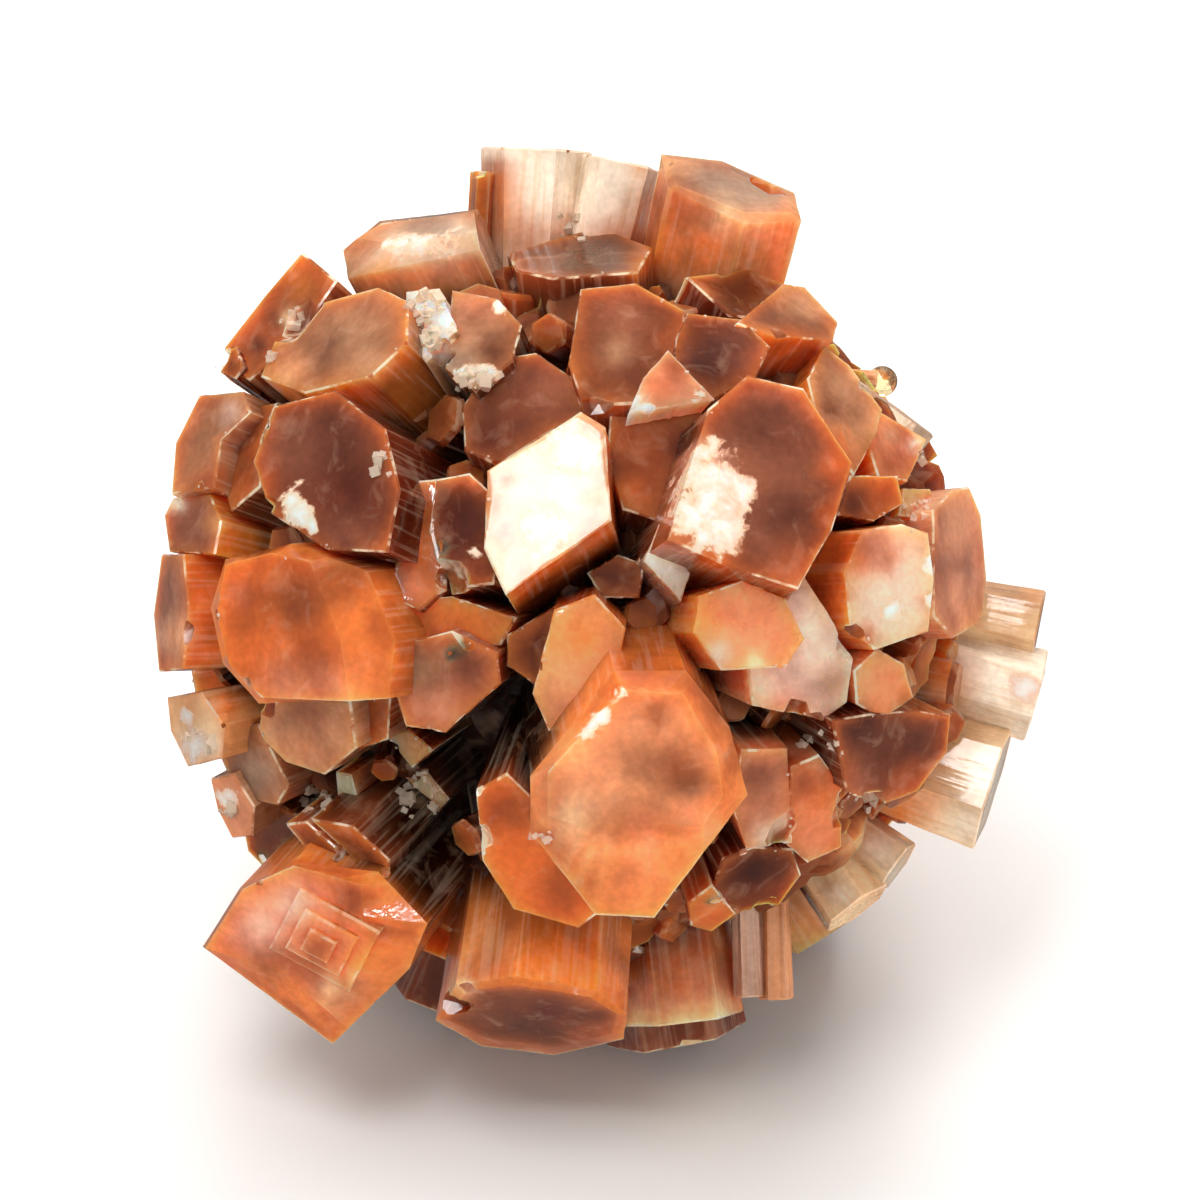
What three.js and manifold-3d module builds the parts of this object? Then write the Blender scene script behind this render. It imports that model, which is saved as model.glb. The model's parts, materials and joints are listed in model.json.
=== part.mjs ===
// Aragonite sputnik cluster: a ball of stubby crystals that grew outwards from one middle. The
// crystals run into each other and share a stained inner mass, so the specimen is one solid. It
// stands on the flat end of one crystal, propped by the corners of the crystals around it.
//
// Millimetres and degrees, +Z up. The origin is the middle of the flat end that it stands on.

import * as THREE from "three";
import { ConvexGeometry } from "three/addons/geometries/ConvexGeometry.js";
import { mergeVertices } from "three/addons/utils/BufferGeometryUtils.js";
import Module from "manifold-3d";

const wasm = await Module();
wasm.setup();

// ---------------------------------------------------------------- driving dimensions

const square = 0.15; // the side of a square of the grid that the best side is laid out on
const restHeight = 22; // from the surface it stands on up to the middle
const showTilt = 35; // how far above the horizon the best side looks
const massRadius = 14.4; // the stained inner mass that the crystals grow out of
const massRoughness = 0.06; // how far its lumps stand in or out, as a share of its radius
const rootStart = 2; // a crystal starts this far from the middle
const rootShare = 0.8; // its width there, as a share of its width at the end
const smallestBevelled = 1.9; // narrower crystals, by their half width, have plain edges
const bevelSlope = [0.25, 0.55]; // how far the worn edge of an end runs in
const bevelFall = 0.8; // how far it runs down, as a share of that
const bevelSlide = 0.5; // how far the flat of an end shifts off its middle, as a share of it
const cornerUneven = [0.93, 1.06]; // how far a six-sided end's corners stand in or out
const cornerDepth = 1 / 1.8; // their place across its depth, so that its flats are about "deep" apart
const growthScatter = 1; // crystals point away from places within this distance of the middle
const beadRadius = 0.8; // a round bead beside the clear crystal of the outline
const beadReach = 18.6; // the bead's distance from the middle
const beadAt = [98, 76]; // and its place on the grid of the best side
const floorGap = 0.4; // crystals that don't carry the cluster stay this far off the surface
const blockSide = 120; // the block that trims the cluster level with the surface

// ---------------------------------------------------------------- crystals whose ends are seen
//
// The best side is laid out in its own frame: right and up of the middle in grid squares, as seen
// when looking straight at it, and "reach" in millimetres from the middle. "ends" are the corners
// of a crystal's end, "face" those of its flat face where a broad slope of "rise" runs around it.
// "axis" is the way it points (right, up, towards) if it doesn't point straight out.

const endsSeen = [
  // the outline, clockwise from the top
  { name: "shoulder", reach: 23.5, axis: [0.2, 0.86, 0.47],
    ends: [[22, 153], [42, 151], [66, 140], [68, 130], [49, 129], [24, 141]],
    face: [[25, 151], [42, 149], [64, 138], [65, 133], [49, 133], [27, 142]], rise: 0.3 },
  { name: "shoulder_dark", reach: 20.4, ends: [[30, 110], [51, 113], [63, 108], [56, 96], [44, 97]] },
  { name: "shoulder_small", reach: 21,
    ends: [[63, 108], [70, 107], [81, 95], [79, 89], [58, 90], [47, 94]] },
  { name: "amber_rim", reach: 20.4,
    ends: [[77, 86], [85, 80], [96, 65], [94, 57], [86, 43], [74, 61], [71, 75]] },
  { name: "pink_rim", reach: 20, ends: [[96, 64], [112, 55], [105, 41], [95, 42], [91, 55]] },
  { name: "cream_crumb", reach: 19.9, ends: [[104, 38], [113, 38], [115, 33], [110, 28], [102, 29]] },
  { name: "east_face", reach: 20.4,
    ends: [[114, 30], [121, 37], [127, 38], [131, 29], [133, 7], [131, -7], [121, -12], [114, -5]] },
  { name: "south_face", reach: 24,
    ends: [[-55, -144], [-48, -131], [-28, -128], [-2, -133],
      [8, -141], [7, -150], [-16, -156], [-40, -153]],
    face: [[-52, -143], [-44, -133], [-28, -131], [-4, -135],
      [5, -141], [3, -148], [-16, -153], [-38, -150]],
    rise: 0.3 },
  { name: "terraced", reach: 25.3, axis: [-0.42, -0.5, 0.76],
    ends: [[-122, -99], [-104, -90], [-76, -93], [-60, -110],
      [-66, -125], [-92, -151], [-116, -133], [-135, -119]],
    face: [[-121, -99], [-104, -91], [-82, -97], [-80, -119], [-95, -138], [-111, -126], [-134, -119]],
    rise: 1.2 },
  { name: "west_chip", reach: 22.4, axis: [-0.75, -0.45, 0.45],
    ends: [[-134, -62], [-126, -60], [-119, -71], [-120, -81], [-127, -82], [-132, -72]] },
  { name: "west_grey", reach: 21.3, axis: [-0.7, -0.3, 0.6],
    ends: [[-130, -44], [-117, -43], [-107, -63], [-111, -70], [-122, -68], [-129, -57]] },
  { name: "west_pale", reach: 22.9, axis: [-0.85, -0.2, 0.45],
    ends: [[-149, -34], [-137, -32], [-129, -43], [-130, -54], [-142, -57], [-148, -45]] },
  { name: "west_block", reach: 23, axis: [-0.94, 0, 0.33],
    ends: [[-151, 15], [-143, 15], [-141, -3], [-143, -23], [-152, -24], [-154, -5]] },
  { name: "west_stub", reach: 22.6, axis: [-0.84, 0.2, 0.5],
    ends: [[-147, 35], [-134, 36], [-130, 27], [-132, 16], [-148, 17], [-150, 29]] },
  { name: "west_smooth", reach: 23, axis: [-0.78, 0.33, 0.53],
    ends: [[-138, 70], [-123, 71], [-120, 64], [-130, 55], [-132, 39], [-147, 37], [-146, 54]] },
  { name: "rust_gap", reach: 21.6,
    ends: [[-123, 65], [-111, 67], [-116, 55], [-116, 39], [-126, 31], [-130, 42], [-129, 55]] },
  { name: "flake", reach: 23, axis: [-0.62, 0.52, 0.58],
    ends: [[-103, 119], [-91, 109], [-100, 96], [-109, 86],
      [-120, 76], [-126, 79], [-129, 87], [-115, 105]] },
  { name: "flake_hook", reach: 23.7, axis: [-0.6, 0.45, 0.66], length: 4,
    ends: [[-135, 84], [-125, 87], [-122, 80], [-125, 76], [-132, 79]] },
  { name: "grey_rim", reach: 21.9, axis: [-0.4, 0.8, 0.45],
    ends: [[-88, 121], [-76, 131], [-43, 134], [-42, 120], [-68, 115], [-86, 111]],
    face: [[-83, 125], [-75, 130], [-44, 133], [-43, 126], [-73, 123]], rise: 0.7 },

  // the ring inside the outline, clockwise from the top
  { name: "under_crown", reach: 19.3,
    ends: [[-31, 119], [-13, 125], [5, 126], [17, 121], [12, 112], [-16, 110], [-28, 113]] },
  { name: "brown_face", reach: 21,
    ends: [[-6, 105], [12, 107], [28, 98], [27, 80], [14, 67], [-5, 66], [-10, 80]] },
  { name: "dark_face", reach: 21.4,
    ends: [[30, 97], [48, 95], [57, 86], [52, 75], [38, 68], [25, 76], [26, 88]] },
  { name: "salmon_chip", reach: 21.8, ends: [[23, 84], [38, 68], [28, 66], [10, 63], [15, 75]] },
  { name: "amber_low", reach: 20.8, ends: [[85, 42], [101, 42], [103, 33], [93, 27], [81, 29]] },
  { name: "pink_face", reach: 22.2,
    ends: [[89, 23], [102, 25], [111, 22], [113, 7], [111, -10], [93, -16], [85, -9], [83, 9]] },
  { name: "salmon_bead", reach: 22,
    ends: [[86, -24], [94, -17], [103, -22], [106, -33], [96, -40], [87, -35]] },
  { name: "mauve_low", reach: 21.9,
    ends: [[79, -41], [92, -39], [107, -38], [119, -40], [118, -52], [108, -65], [94, -70], [84, -64]] },
  { name: "pink_column_1", reach: 21, ends: [[48, -51], [63, -51], [65, -82], [50, -84], [45, -70]] },
  { name: "pink_column_2", reach: 21,
    ends: [[65, -57], [74, -53], [82, -64], [82, -84], [71, -89], [64, -83]] },
  { name: "brown_low", reach: 21,
    ends: [[42, -88], [52, -84], [65, -85], [68, -94], [61, -104], [48, -106], [38, -99]] },
  { name: "salmon_low", reach: 21.4, ends: [[30, -103], [38, -97], [46, -107], [38, -113], [31, -111]] },
  { name: "orange_low", reach: 23,
    ends: [[-41, -65], [-31, -59], [-22, -68], [-13, -81],
      [0, -104], [-8, -110], [-29, -104], [-39, -88]] },
  { name: "sliver_1", reach: 22, length: 8,
    ends: [[-107, -77], [-100, -76], [-79, -94], [-82, -99], [-96, -90]] },
  { name: "sliver_2", reach: 22, length: 8,
    ends: [[-98, -75], [-84, -77], [-72, -88], [-72, -95], [-79, -92]] },
  { name: "west_rust", reach: 21.2, axis: [-0.66, -0.5, 0.56],
    ends: [[-124, -75], [-114, -69], [-103, -75], [-101, -91], [-115, -94], [-122, -87]] },
  { name: "splinter", reach: 19.6, ends: [[-90, -59], [-85, -60], [-81, -75], [-89, -76]] },
  { name: "pink_chip", reach: 18.5, ends: [[-73, -46], [-65, -44], [-57, -51], [-64, -57]] },
  { name: "spark_crumb", reach: 17.4,
    ends: [[-74, -62], [-60, -58], [-52, -68], [-60, -78], [-73, -74]] },
  { name: "grey_low", reach: 21.4,
    ends: [[-115, -35], [-85, -34], [-83, -50], [-94, -59], [-107, -55], [-116, -46]] },
  { name: "brown_under", reach: 20.5, ends: [[-84, -34], [-71, -33], [-72, -47], [-83, -51]] },
  { name: "orange_face", reach: 24,
    ends: [[-126, 13], [-104, 18], [-79, 9], [-70, -13], [-72, -32], [-115, -34], [-127, -21], [-131, -3]],
    face: [[-126, 11], [-111, 15], [-98, 12], [-88, -13], [-85, -33], [-114, -32], [-125, -21], [-129, -5]],
    rise: 1.1 },
  { name: "west_dark", reach: 23,
    ends: [[-110, 65], [-90, 70], [-73, 57], [-68, 37], [-72, 17], [-92, 18], [-111, 30], [-117, 47]] },
  { name: "oval_face", reach: 22.6,
    ends: [[-96, 101], [-76, 106], [-66, 101], [-66, 87], [-78, 76], [-100, 71], [-115, 77], [-110, 91]] },
  { name: "sparkling", reach: 21.6, ends: [[-66, 105], [-55, 106], [-49, 92], [-59, 81], [-66, 89]] },
  { name: "grey_face", reach: 21.2,
    ends: [[-50, 105], [-35, 102], [-27, 93], [-30, 81], [-42, 71], [-52, 79], [-51, 91]] },

  // the middle
  { name: "mauve_face", reach: 20.6,
    ends: [[-36, 81], [-22, 83], [-10, 75], [-6, 63], [-19, 56], [-34, 46], [-45, 51], [-46, 65]] },
  { name: "red_gap", reach: 20.3, ends: [[4, 63], [34, 63], [30, 45], [20, 27], [8, 31], [3, 47]] },
  { name: "great_mauve", reach: 24,
    ends: [[37, 63], [50, 74], [68, 70], [84, 46], [77, 24], [66, 5], [46, 11], [24, 21]] },
  { name: "mirror", reach: 23.8, ends: [[-7, 62], [1, 57], [3, 27], [-31, 3], [-38, 18], [-37, 43]] },
  { name: "red_block", reach: 22,
    ends: [[-55, 40], [-44, 42], [-33, 32], [-36, 6], [-52, 4], [-57, 23]] },
  { name: "red_side", reach: 21.4, ends: [[-68, 39], [-54, 40], [-53, 4], [-61, -3], [-69, 1]] },
  { name: "rhomb_chip", reach: 21.8, ends: [[20, 25], [30, 9], [27, 0], [15, 13]] },
  { name: "grey_gap", reach: 20, ends: [[-4, 9], [6, 15], [15, 12], [13, 1], [1, 1]] },
  { name: "salmon_face", reach: 22.9,
    ends: [[34, 1], [48, 6], [62, 0], [68, -13], [62, -22], [41, -23], [32, -11]] },
  { name: "pink_grey", reach: 22,
    ends: [[68, 8], [76, -4], [85, -20], [83, -34], [75, -40], [52, -35], [50, -21]] },
  { name: "orange_twin", reach: 22.4,
    ends: [[-15, -4], [-2, 1], [8, -10], [6, -21], [-8, -41], [-16, -45], [-22, -31]] },
  { name: "red_chip", reach: 21.2, ends: [[-31, -12], [-16, -3], [-13, -15], [-22, -28], [-31, -22]] },
  { name: "rust_chip", reach: 21,
    ends: [[-66, -1], [-50, 1], [-29, -6], [-34, -15], [-52, -14], [-68, -11]] },
  { name: "mauve_small", reach: 21.8,
    ends: [[-66, -15], [-50, -11], [-35, -18], [-34, -28], [-52, -44], [-65, -42], [-69, -29]] },
  { name: "king", reach: 26,
    ends: [[5, -25], [28, -25], [42, -43], [48, -65], [18, -105], [-1, -104], [-22, -77], [-22, -59]],
    face: [[8, -31], [27, -32], [38, -51], [40, -65], [34, -74], [-6, -75], [-16, -71], [-16, -57]],
    rise: 1.5 },
];

// ---------------------------------------------------------------- crystals seen from their side
//
// "at" is the middle of the end in the same frame, "wide" its width across the view and "deep" its
// width along it in millimetres.

const sidesSeen = [
  { name: "crown_left", at: [-40, 148], reach: 23.1, wide: 1.4, deep: 3.4,
    axis: [0.06, 1, 0], turn: 0 },
  { name: "crown_middle", at: [-22, 156], reach: 23.7, wide: 5.6, deep: 5.8,
    axis: [0.05, 1, 0.02], turn: 8 },
  { name: "crown_right", at: [8, 151], reach: 22.8, wide: 4.4, deep: 5.4,
    axis: [0.22, 0.98, 0], turn: -6 },
  { name: "clear_rim", at: [100, 68], reach: 18.5, wide: 5.8, deep: 1.8,
    axis: [0.59, 0.81, 0], turn: 0 },
  { name: "bead_stalk", at: [96, 76], reach: 18.4, wide: 1, deep: 1,
    axis: [1, -0.1, 0], turn: 0, length: 4 },
  { name: "east_stub", at: [152, -9], reach: 22.9, wide: 3.7, deep: 4.4,
    axis: [0.97, -0.2, 0.05], turn: 6 },
  { name: "pale_slab_1", at: [151, -33], reach: 23.3, wide: 4.8, deep: 5.2,
    axis: [0.96, -0.26, 0], turn: 0 },
  { name: "pale_slab_2", at: [136, -65], reach: 22.8, wide: 6.8, deep: 5.6,
    axis: [0.95, -0.3, 0.1], turn: 10 },
  { name: "pale_prism_1", at: [103, -93], reach: 20.9, wide: 3.3, deep: 3.6,
    axis: [0.8, -0.58, 0.15], turn: 12 },
  { name: "pale_prism_2", at: [89, -107], reach: 21, wide: 4.2, deep: 4,
    axis: [0.58, -0.8, 0.2], turn: -14 },
  { name: "south_reed_1", at: [61, -138], reach: 22.8, wide: 1.8, deep: 2.8,
    axis: [0.02, -1, 0], turn: 0 },
  { name: "south_reed_2", at: [52, -137], reach: 22.2, wide: 1.8, deep: 2.6,
    axis: [0.04, -1, 0], turn: 0 },
  { name: "south_block", at: [29, -145], reach: 22.3, wide: 6.4, deep: 6,
    axis: [0.12, -0.99, -0.04], turn: 4 },
];

// ---------------------------------------------------------------- crystals underneath
//
// "lean" is measured from straight down and "bearing" clockwise from the back, seen from above.
// They reach a little below the surface that the cluster stands on and are trimmed level with it:
// the foot right across its end, and the others at a corner.

const underneath = [
  { name: "foot", lean: 0, bearing: 0, reach: 22.7, wide: 9.2, deep: 8.8, turn: 10 },
  { name: "prop_back", lean: 27, bearing: 12, reach: 23.2, wide: 7.4, deep: 7, turn: 0 },
  { name: "prop_right", lean: 28, bearing: 84, reach: 23.4, wide: 7, deep: 7.2, turn: 0 },
  { name: "prop_front", lean: 28, bearing: 158, reach: 23.4, wide: 7.6, deep: 7, turn: 0 },
  { name: "prop_left", lean: 27, bearing: 232, reach: 23.3, wide: 7, deep: 6.8, turn: 0 },
  { name: "prop_far_left", lean: 29, bearing: 302, reach: 23.5, wide: 6.8, deep: 7, turn: 0 },
];

// ---------------------------------------------------------------- crystals by rule
//
// The far side is filled with crystals of falling size, tried along a spiral over the ball. One
// grows where it keeps its distance from the others. Only small ones fit in on the best side.

const fills = [
  { name: "broad", tries: 300, wide: [7.6, 10], reach: [22.2, 24], spread: 0.84 },
  { name: "middling", tries: 500, wide: [4.8, 6.6], reach: [21.2, 23.2], spread: 0.8 },
  { name: "narrow", tries: 640, wide: [3, 4.2], reach: [19.4, 21.6], spread: 0.88 },
  { name: "small", tries: 800, wide: [2.4, 3.2], reach: [17.4, 19.4], spread: 1.05, bestSideToo: true },
];
const goldenAngle = 137.508; // degrees from each try on the spiral to the next
const spiralScatter = 8; // degrees by which a try may lie off the spiral
const depthScatter = [0.85, 1.15]; // the depth of a crystal by rule, as a share of its width
const firstFilled = 200; // crystals by rule are numbered from here
const bestSideFrom = 0.05; // the best side is where the way out points towards its viewer this much
const undersideFrom = 0.2; // and the underside where it points down this much
const cornerAllowance = 1.1; // corners stand out a little further than a crystal's mean half width
const leastGrowth = 1; // a crystal ends at least this far outside the inner mass
const meanReach = 21; // distances between crystals are measured at this radius

// Gaps in the best side that stay empty: where, and how wide in millimetres.
const hollows = [
  { at: [-38, -48], wide: 6.6 },
  { at: [-60, -66], wide: 5 },
  { at: [-62, -92], wide: 4.6 },
  { at: [-46, 70], wide: 1.6 },
  { at: [-20, 88], wide: 1.8 },
  { at: [76, -118], wide: 4 },
];

// How far out crystals of the far side may stand seen from the best side, in grid squares: at even
// steps around, clockwise from the top.
const outline = [
  140, 142, 114, 106, 108, 106, 122, 138, 138, 116, 104, 130,
  134, 136, 132, 142, 140, 142, 144, 140, 130, 132, 136, 132,
];

// ---------------------------------------------------------------- small helpers

const radians = THREE.MathUtils.degToRad;

// A repeatable stream of numbers from 0 to 1, by the minimal standard generator.
function numbersFrom(seed) {
  let state = (seed * 7919 + 104729) % 2147483647;
  const next = () => {
    state = (state * 16807) % 2147483647;
    return state / 2147483647;
  };
  for (let skipped = 0; skipped < 4; skipped++) next();
  return next;
}

const between = (next, low, high) => low + (high - low) * next();

// From the best side's frame (right, up, towards) to the part's own (X, Y, Z).
const showFrame = new THREE.Matrix4().makeRotationX(radians(90 - showTilt));

const onGrid = (place) => place.map((squares) => squares * square);

// The point of the best side's frame that is seen at a place on the grid, at a distance out.
function pointAt(place, reach) {
  const [right, up] = onGrid(place);
  return new THREE.Vector3(right, up, Math.sqrt(Math.max(reach ** 2 - right ** 2 - up ** 2, 0)));
}

// Two directions across an axis: around the cluster, and away from the line of sight.
function across(axis) {
  const around = new THREE.Vector3(0, 0, 1).cross(axis).normalize();
  return [around, around.clone().cross(axis)];
}

const mean = (list) => list.reduce((sum, value) => sum + value, 0) / list.length;
const middleOf = (corners) => [0, 1].map((k) => mean(corners.map((corner) => corner[k])));

// ---------------------------------------------------------------- crystals as points to wrap

// The corners seen on the grid, carried along the line of sight onto the plane of the end.
function seenRing(corners, middle, axis) {
  return corners.map((corner) => {
    const [right, up] = onGrid(corner);
    const away = (axis.x * (right - middle.x) + axis.y * (up - middle.y)) / axis.z;
    return new THREE.Vector3(right, up, middle.z - away);
  });
}

// A six-sided ring across an axis, its corners a little uneven.
function sixSidedRing({ wide, deep, turn }, middle, axis, next) {
  const [around, outwards] = across(axis);
  return Array.from({ length: 6 }, (_, k) => {
    const angle = radians(60 * k + turn);
    const uneven = between(next, ...cornerUneven);
    return middle
      .clone()
      .addScaledVector(around, (Math.cos(angle) * wide * uneven) / 2)
      .addScaledVector(outwards, Math.sin(angle) * deep * uneven * cornerDepth);
  });
}

// Where a crystal ends, which way it points, and the ring of its end's corners.
function layOut(crystal, index) {
  const next = numbersFrom(index + 1);
  const end = crystal.end ?? pointAt(crystal.at ?? middleOf(crystal.ends), crystal.reach);
  const scatter = () => between(next, -growthScatter, growthScatter);
  const start = new THREE.Vector3(scatter(), scatter(), scatter());
  const axis = crystal.axis ? new THREE.Vector3(...crystal.axis) : end.clone().sub(start);
  axis.normalize();
  const length = crystal.length ?? end.length() - rootStart;
  const slope = between(next, ...bevelSlope);
  const slide = across(axis).map(() => between(next, -bevelSlide, bevelSlide) * slope);
  const turn = crystal.turn ?? between(next, 0, 60);
  const ring = crystal.ends
    ? seenRing(crystal.ends, end, axis)
    : sixSidedRing({ ...crystal, turn }, end, axis, next);
  return { ...crystal, end, axis, length, slope, slide, ring };
}

const halfWidth = ({ ring, end }) => mean(ring.map((corner) => corner.distanceTo(end)));

// All the points that one crystal's faces are wrapped around, in the best side's frame.
function pointsOf({ end, axis, length, slope, slide, ring, ends, face, rise }) {
  const [around, outwards] = across(axis);
  const size = halfWidth({ ring, end });
  const root = ring.map((corner) =>
    corner.clone().sub(end).multiplyScalar(rootShare).add(end).addScaledVector(axis, -length));
  if (face) {
    const shoulder = seenRing(ends, end.clone().addScaledVector(axis, -rise), axis);
    return [...root, ...shoulder, ...seenRing(face, end, axis)];
  }
  if (size < smallestBevelled) return [...root, ...ring];
  const shoulder = ring.map((corner) => corner.clone().addScaledVector(axis, -slope * bevelFall));
  const flat = ring.map((corner) =>
    corner
      .clone()
      .sub(end)
      .multiplyScalar(1 - slope / size)
      .add(end)
      .addScaledVector(around, slide[0])
      .addScaledVector(outwards, slide[1]));
  return [...root, ...shoulder, ...flat];
}

// ---------------------------------------------------------------- the crystals by rule

// How far out a crystal may end without showing past the best side's outline.
function reachInOutline(way, size) {
  const clockwise = (Math.atan2(way.x, way.y) / (2 * Math.PI) + 1) * outline.length;
  const step = Math.floor(clockwise);
  const before = outline[step % outline.length];
  const after = outline[(step + 1) % outline.length];
  const edge = square * (before + (after - before) * (clockwise - step));
  return (edge - size * Math.abs(way.z)) / Math.hypot(way.x, way.y);
}

// How far out a crystal may end without touching the surface that the cluster stands on.
function reachAboveFloor(way, size) {
  const down = -way.clone().applyMatrix4(showFrame).z;
  if (down < undersideFrom) return Infinity;
  const lowestCorner = size * cornerAllowance * Math.sqrt(1 - down ** 2);
  return (restHeight - floorGap - lowestCorner) / down;
}

// Fits in the crystals that follow a rule, after those placed by hand.
function fillIn(placed) {
  const taken = [
    ...placed.map((c) => ({ way: c.end.clone().normalize(), size: halfWidth(c) })),
    ...hollows.map((h) => ({ way: pointAt(h.at, meanReach).normalize(), size: h.wide / 2 })),
  ];
  const grown = [];
  fills.forEach((fill, pass) => {
    for (let i = 0; i < fill.tries; i++) {
      const next = numbersFrom(1000 * (pass + 1) + i);
      const towards = 1 - (2 * (i + next())) / fill.tries;
      const around = radians(goldenAngle * i + between(next, -spiralScatter, spiralScatter));
      const out = Math.sqrt(1 - towards ** 2);
      const way = new THREE.Vector3(out * Math.sin(around), out * Math.cos(around), towards);
      const wide = between(next, ...fill.wide);
      const deep = wide * between(next, ...depthScatter);
      const size = (wide + deep) / 4;
      const fullReach = between(next, ...fill.reach);
      if (towards > bestSideFrom && !fill.bestSideToo) continue;
      const fits = taken.every((t) => way.angleTo(t.way) * meanReach >= fill.spread * (size + t.size));
      if (!fits) continue;
      const reach = Math.min(fullReach, reachInOutline(way, size), reachAboveFloor(way, size));
      if (reach < massRadius + leastGrowth) continue;
      taken.push({ way, size });
      grown.push({ name: fill.name + "_" + i, end: way.clone().multiplyScalar(reach), wide, deep });
    }
  });
  return grown;
}

// A crystal underneath points straight out from the middle.
function pointingOut(crystal) {
  const { lean, bearing, reach } = crystal;
  const way = new THREE.Vector3(
    Math.sin(radians(lean)) * Math.sin(radians(bearing)),
    Math.sin(radians(lean)) * Math.cos(radians(bearing)),
    -Math.cos(radians(lean)),
  );
  way.applyMatrix4(showFrame.clone().invert());
  return { ...crystal, axis: way.toArray(), end: way.clone().multiplyScalar(reach) };
}

// ---------------------------------------------------------------- solids

// A geometry of closed faces as a solid.
function solidOf(geometry) {
  geometry.deleteAttribute("normal");
  geometry.deleteAttribute("uv");
  const merged = mergeVertices(geometry, 1e-4);
  const mesh = new wasm.Mesh({
    numProp: 3,
    vertProperties: new Float32Array(merged.getAttribute("position").array),
    triVerts: new Uint32Array(merged.index.array),
  });
  return new wasm.Manifold(mesh);
}

// The stained mass in the middle, as a lumpy ball.
function innerMass() {
  const ball = new THREE.IcosahedronGeometry(massRadius, 2);
  const next = numbersFrom(77);
  const position = ball.getAttribute("position");
  const lumps = new Map();
  for (let i = 0; i < position.count; i++) {
    const corner = new THREE.Vector3().fromBufferAttribute(position, i);
    const key = corner.toArray().map((value) => Math.round(value * 100)).join(" ");
    if (!lumps.has(key)) lumps.set(key, 1 + between(next, -massRoughness, massRoughness));
    corner.multiplyScalar(lumps.get(key));
    position.setXYZ(i, corner.x, corner.y, corner.z);
  }
  return solidOf(ball);
}

function clusterGeometry() {
  const placed = [...endsSeen, ...sidesSeen, ...underneath.map(pointingOut)].map(layOut);
  const filled = fillIn(placed).map((crystal, i) => layOut(crystal, i + firstFilled));
  const crystals = [...placed, ...filled].map((crystal) => {
    const points = pointsOf(crystal).map((point) => point.applyMatrix4(showFrame));
    return solidOf(new ConvexGeometry(points));
  });

  const bead = new THREE.IcosahedronGeometry(beadRadius, 1);
  bead.translate(...pointAt(beadAt, beadReach).toArray()).applyMatrix4(showFrame);

  // trim what would reach below the surface that the cluster stands on
  const below = new THREE.BoxGeometry(blockSide, blockSide, blockSide);
  below.translate(0, 0, -blockSide / 2 - restHeight);
  const grown = wasm.Manifold.union([innerMass(), solidOf(bead), ...crystals]).subtract(solidOf(below));

  const mesh = grown.getMesh();
  const geometry = new THREE.BufferGeometry();
  geometry.setAttribute("position", new THREE.BufferAttribute(mesh.vertProperties, 3));
  geometry.setIndex(new THREE.BufferAttribute(mesh.triVerts, 1));
  geometry.computeVertexNormals();
  return geometry;
}

const aragonite = new THREE.MeshStandardMaterial({ color: "#b5603c", roughness: 0.35, metalness: 0 });

const cluster = new THREE.Mesh(clusterGeometry(), aragonite);
cluster.name = "crystal_cluster";
cluster.position.z = restHeight;

const specimen = new THREE.Group();
specimen.add(cluster);

export default specimen;
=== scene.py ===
# %% [markdown]
# # A "sputnik" cluster of aragonite crystals
#
# Stubby six-sided crystals grew outwards from one middle until they met, so the specimen is a
# ball of flat crystal ends with dark, iron-stained gaps between them. This lesson lays out the
# crystals, shapes each one from a single blank rod, joins them all into one solid, stains it,
# paints shade, glows and highlights into its colours, and puts it under studio light. Distances
# are laid out in millimetres and turned to metres where a mesh is made.

# %% Load the imported part
import json
import math

import bpy
import numpy as np
from mathutils import Matrix, Vector, noise
from mathutils.bvhtree import BVHTree

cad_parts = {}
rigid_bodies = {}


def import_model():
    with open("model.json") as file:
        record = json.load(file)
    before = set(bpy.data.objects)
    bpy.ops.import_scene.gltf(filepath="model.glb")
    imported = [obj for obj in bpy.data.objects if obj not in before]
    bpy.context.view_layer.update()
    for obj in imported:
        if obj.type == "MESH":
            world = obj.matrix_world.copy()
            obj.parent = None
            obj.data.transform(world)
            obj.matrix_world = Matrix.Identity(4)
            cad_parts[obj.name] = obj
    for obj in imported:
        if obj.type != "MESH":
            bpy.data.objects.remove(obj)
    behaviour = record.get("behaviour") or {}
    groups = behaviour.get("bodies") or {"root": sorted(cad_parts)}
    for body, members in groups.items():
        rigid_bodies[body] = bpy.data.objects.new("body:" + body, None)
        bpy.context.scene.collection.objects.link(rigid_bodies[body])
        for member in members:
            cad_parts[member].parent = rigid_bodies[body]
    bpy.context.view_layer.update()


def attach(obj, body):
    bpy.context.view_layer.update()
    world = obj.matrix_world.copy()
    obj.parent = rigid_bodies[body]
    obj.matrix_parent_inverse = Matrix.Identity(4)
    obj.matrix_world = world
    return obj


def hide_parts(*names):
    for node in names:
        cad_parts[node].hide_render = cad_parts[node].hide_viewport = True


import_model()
NODE = "crystal_cluster"

# %% [markdown]
# ## Sizes
#
# The best side of the cluster looks 35 degrees upwards. Everything that shows there is laid out
# in its own frame, right and up of the middle in grid squares, as seen when looking straight at
# it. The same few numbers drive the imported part, so the two have the same shape.

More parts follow.
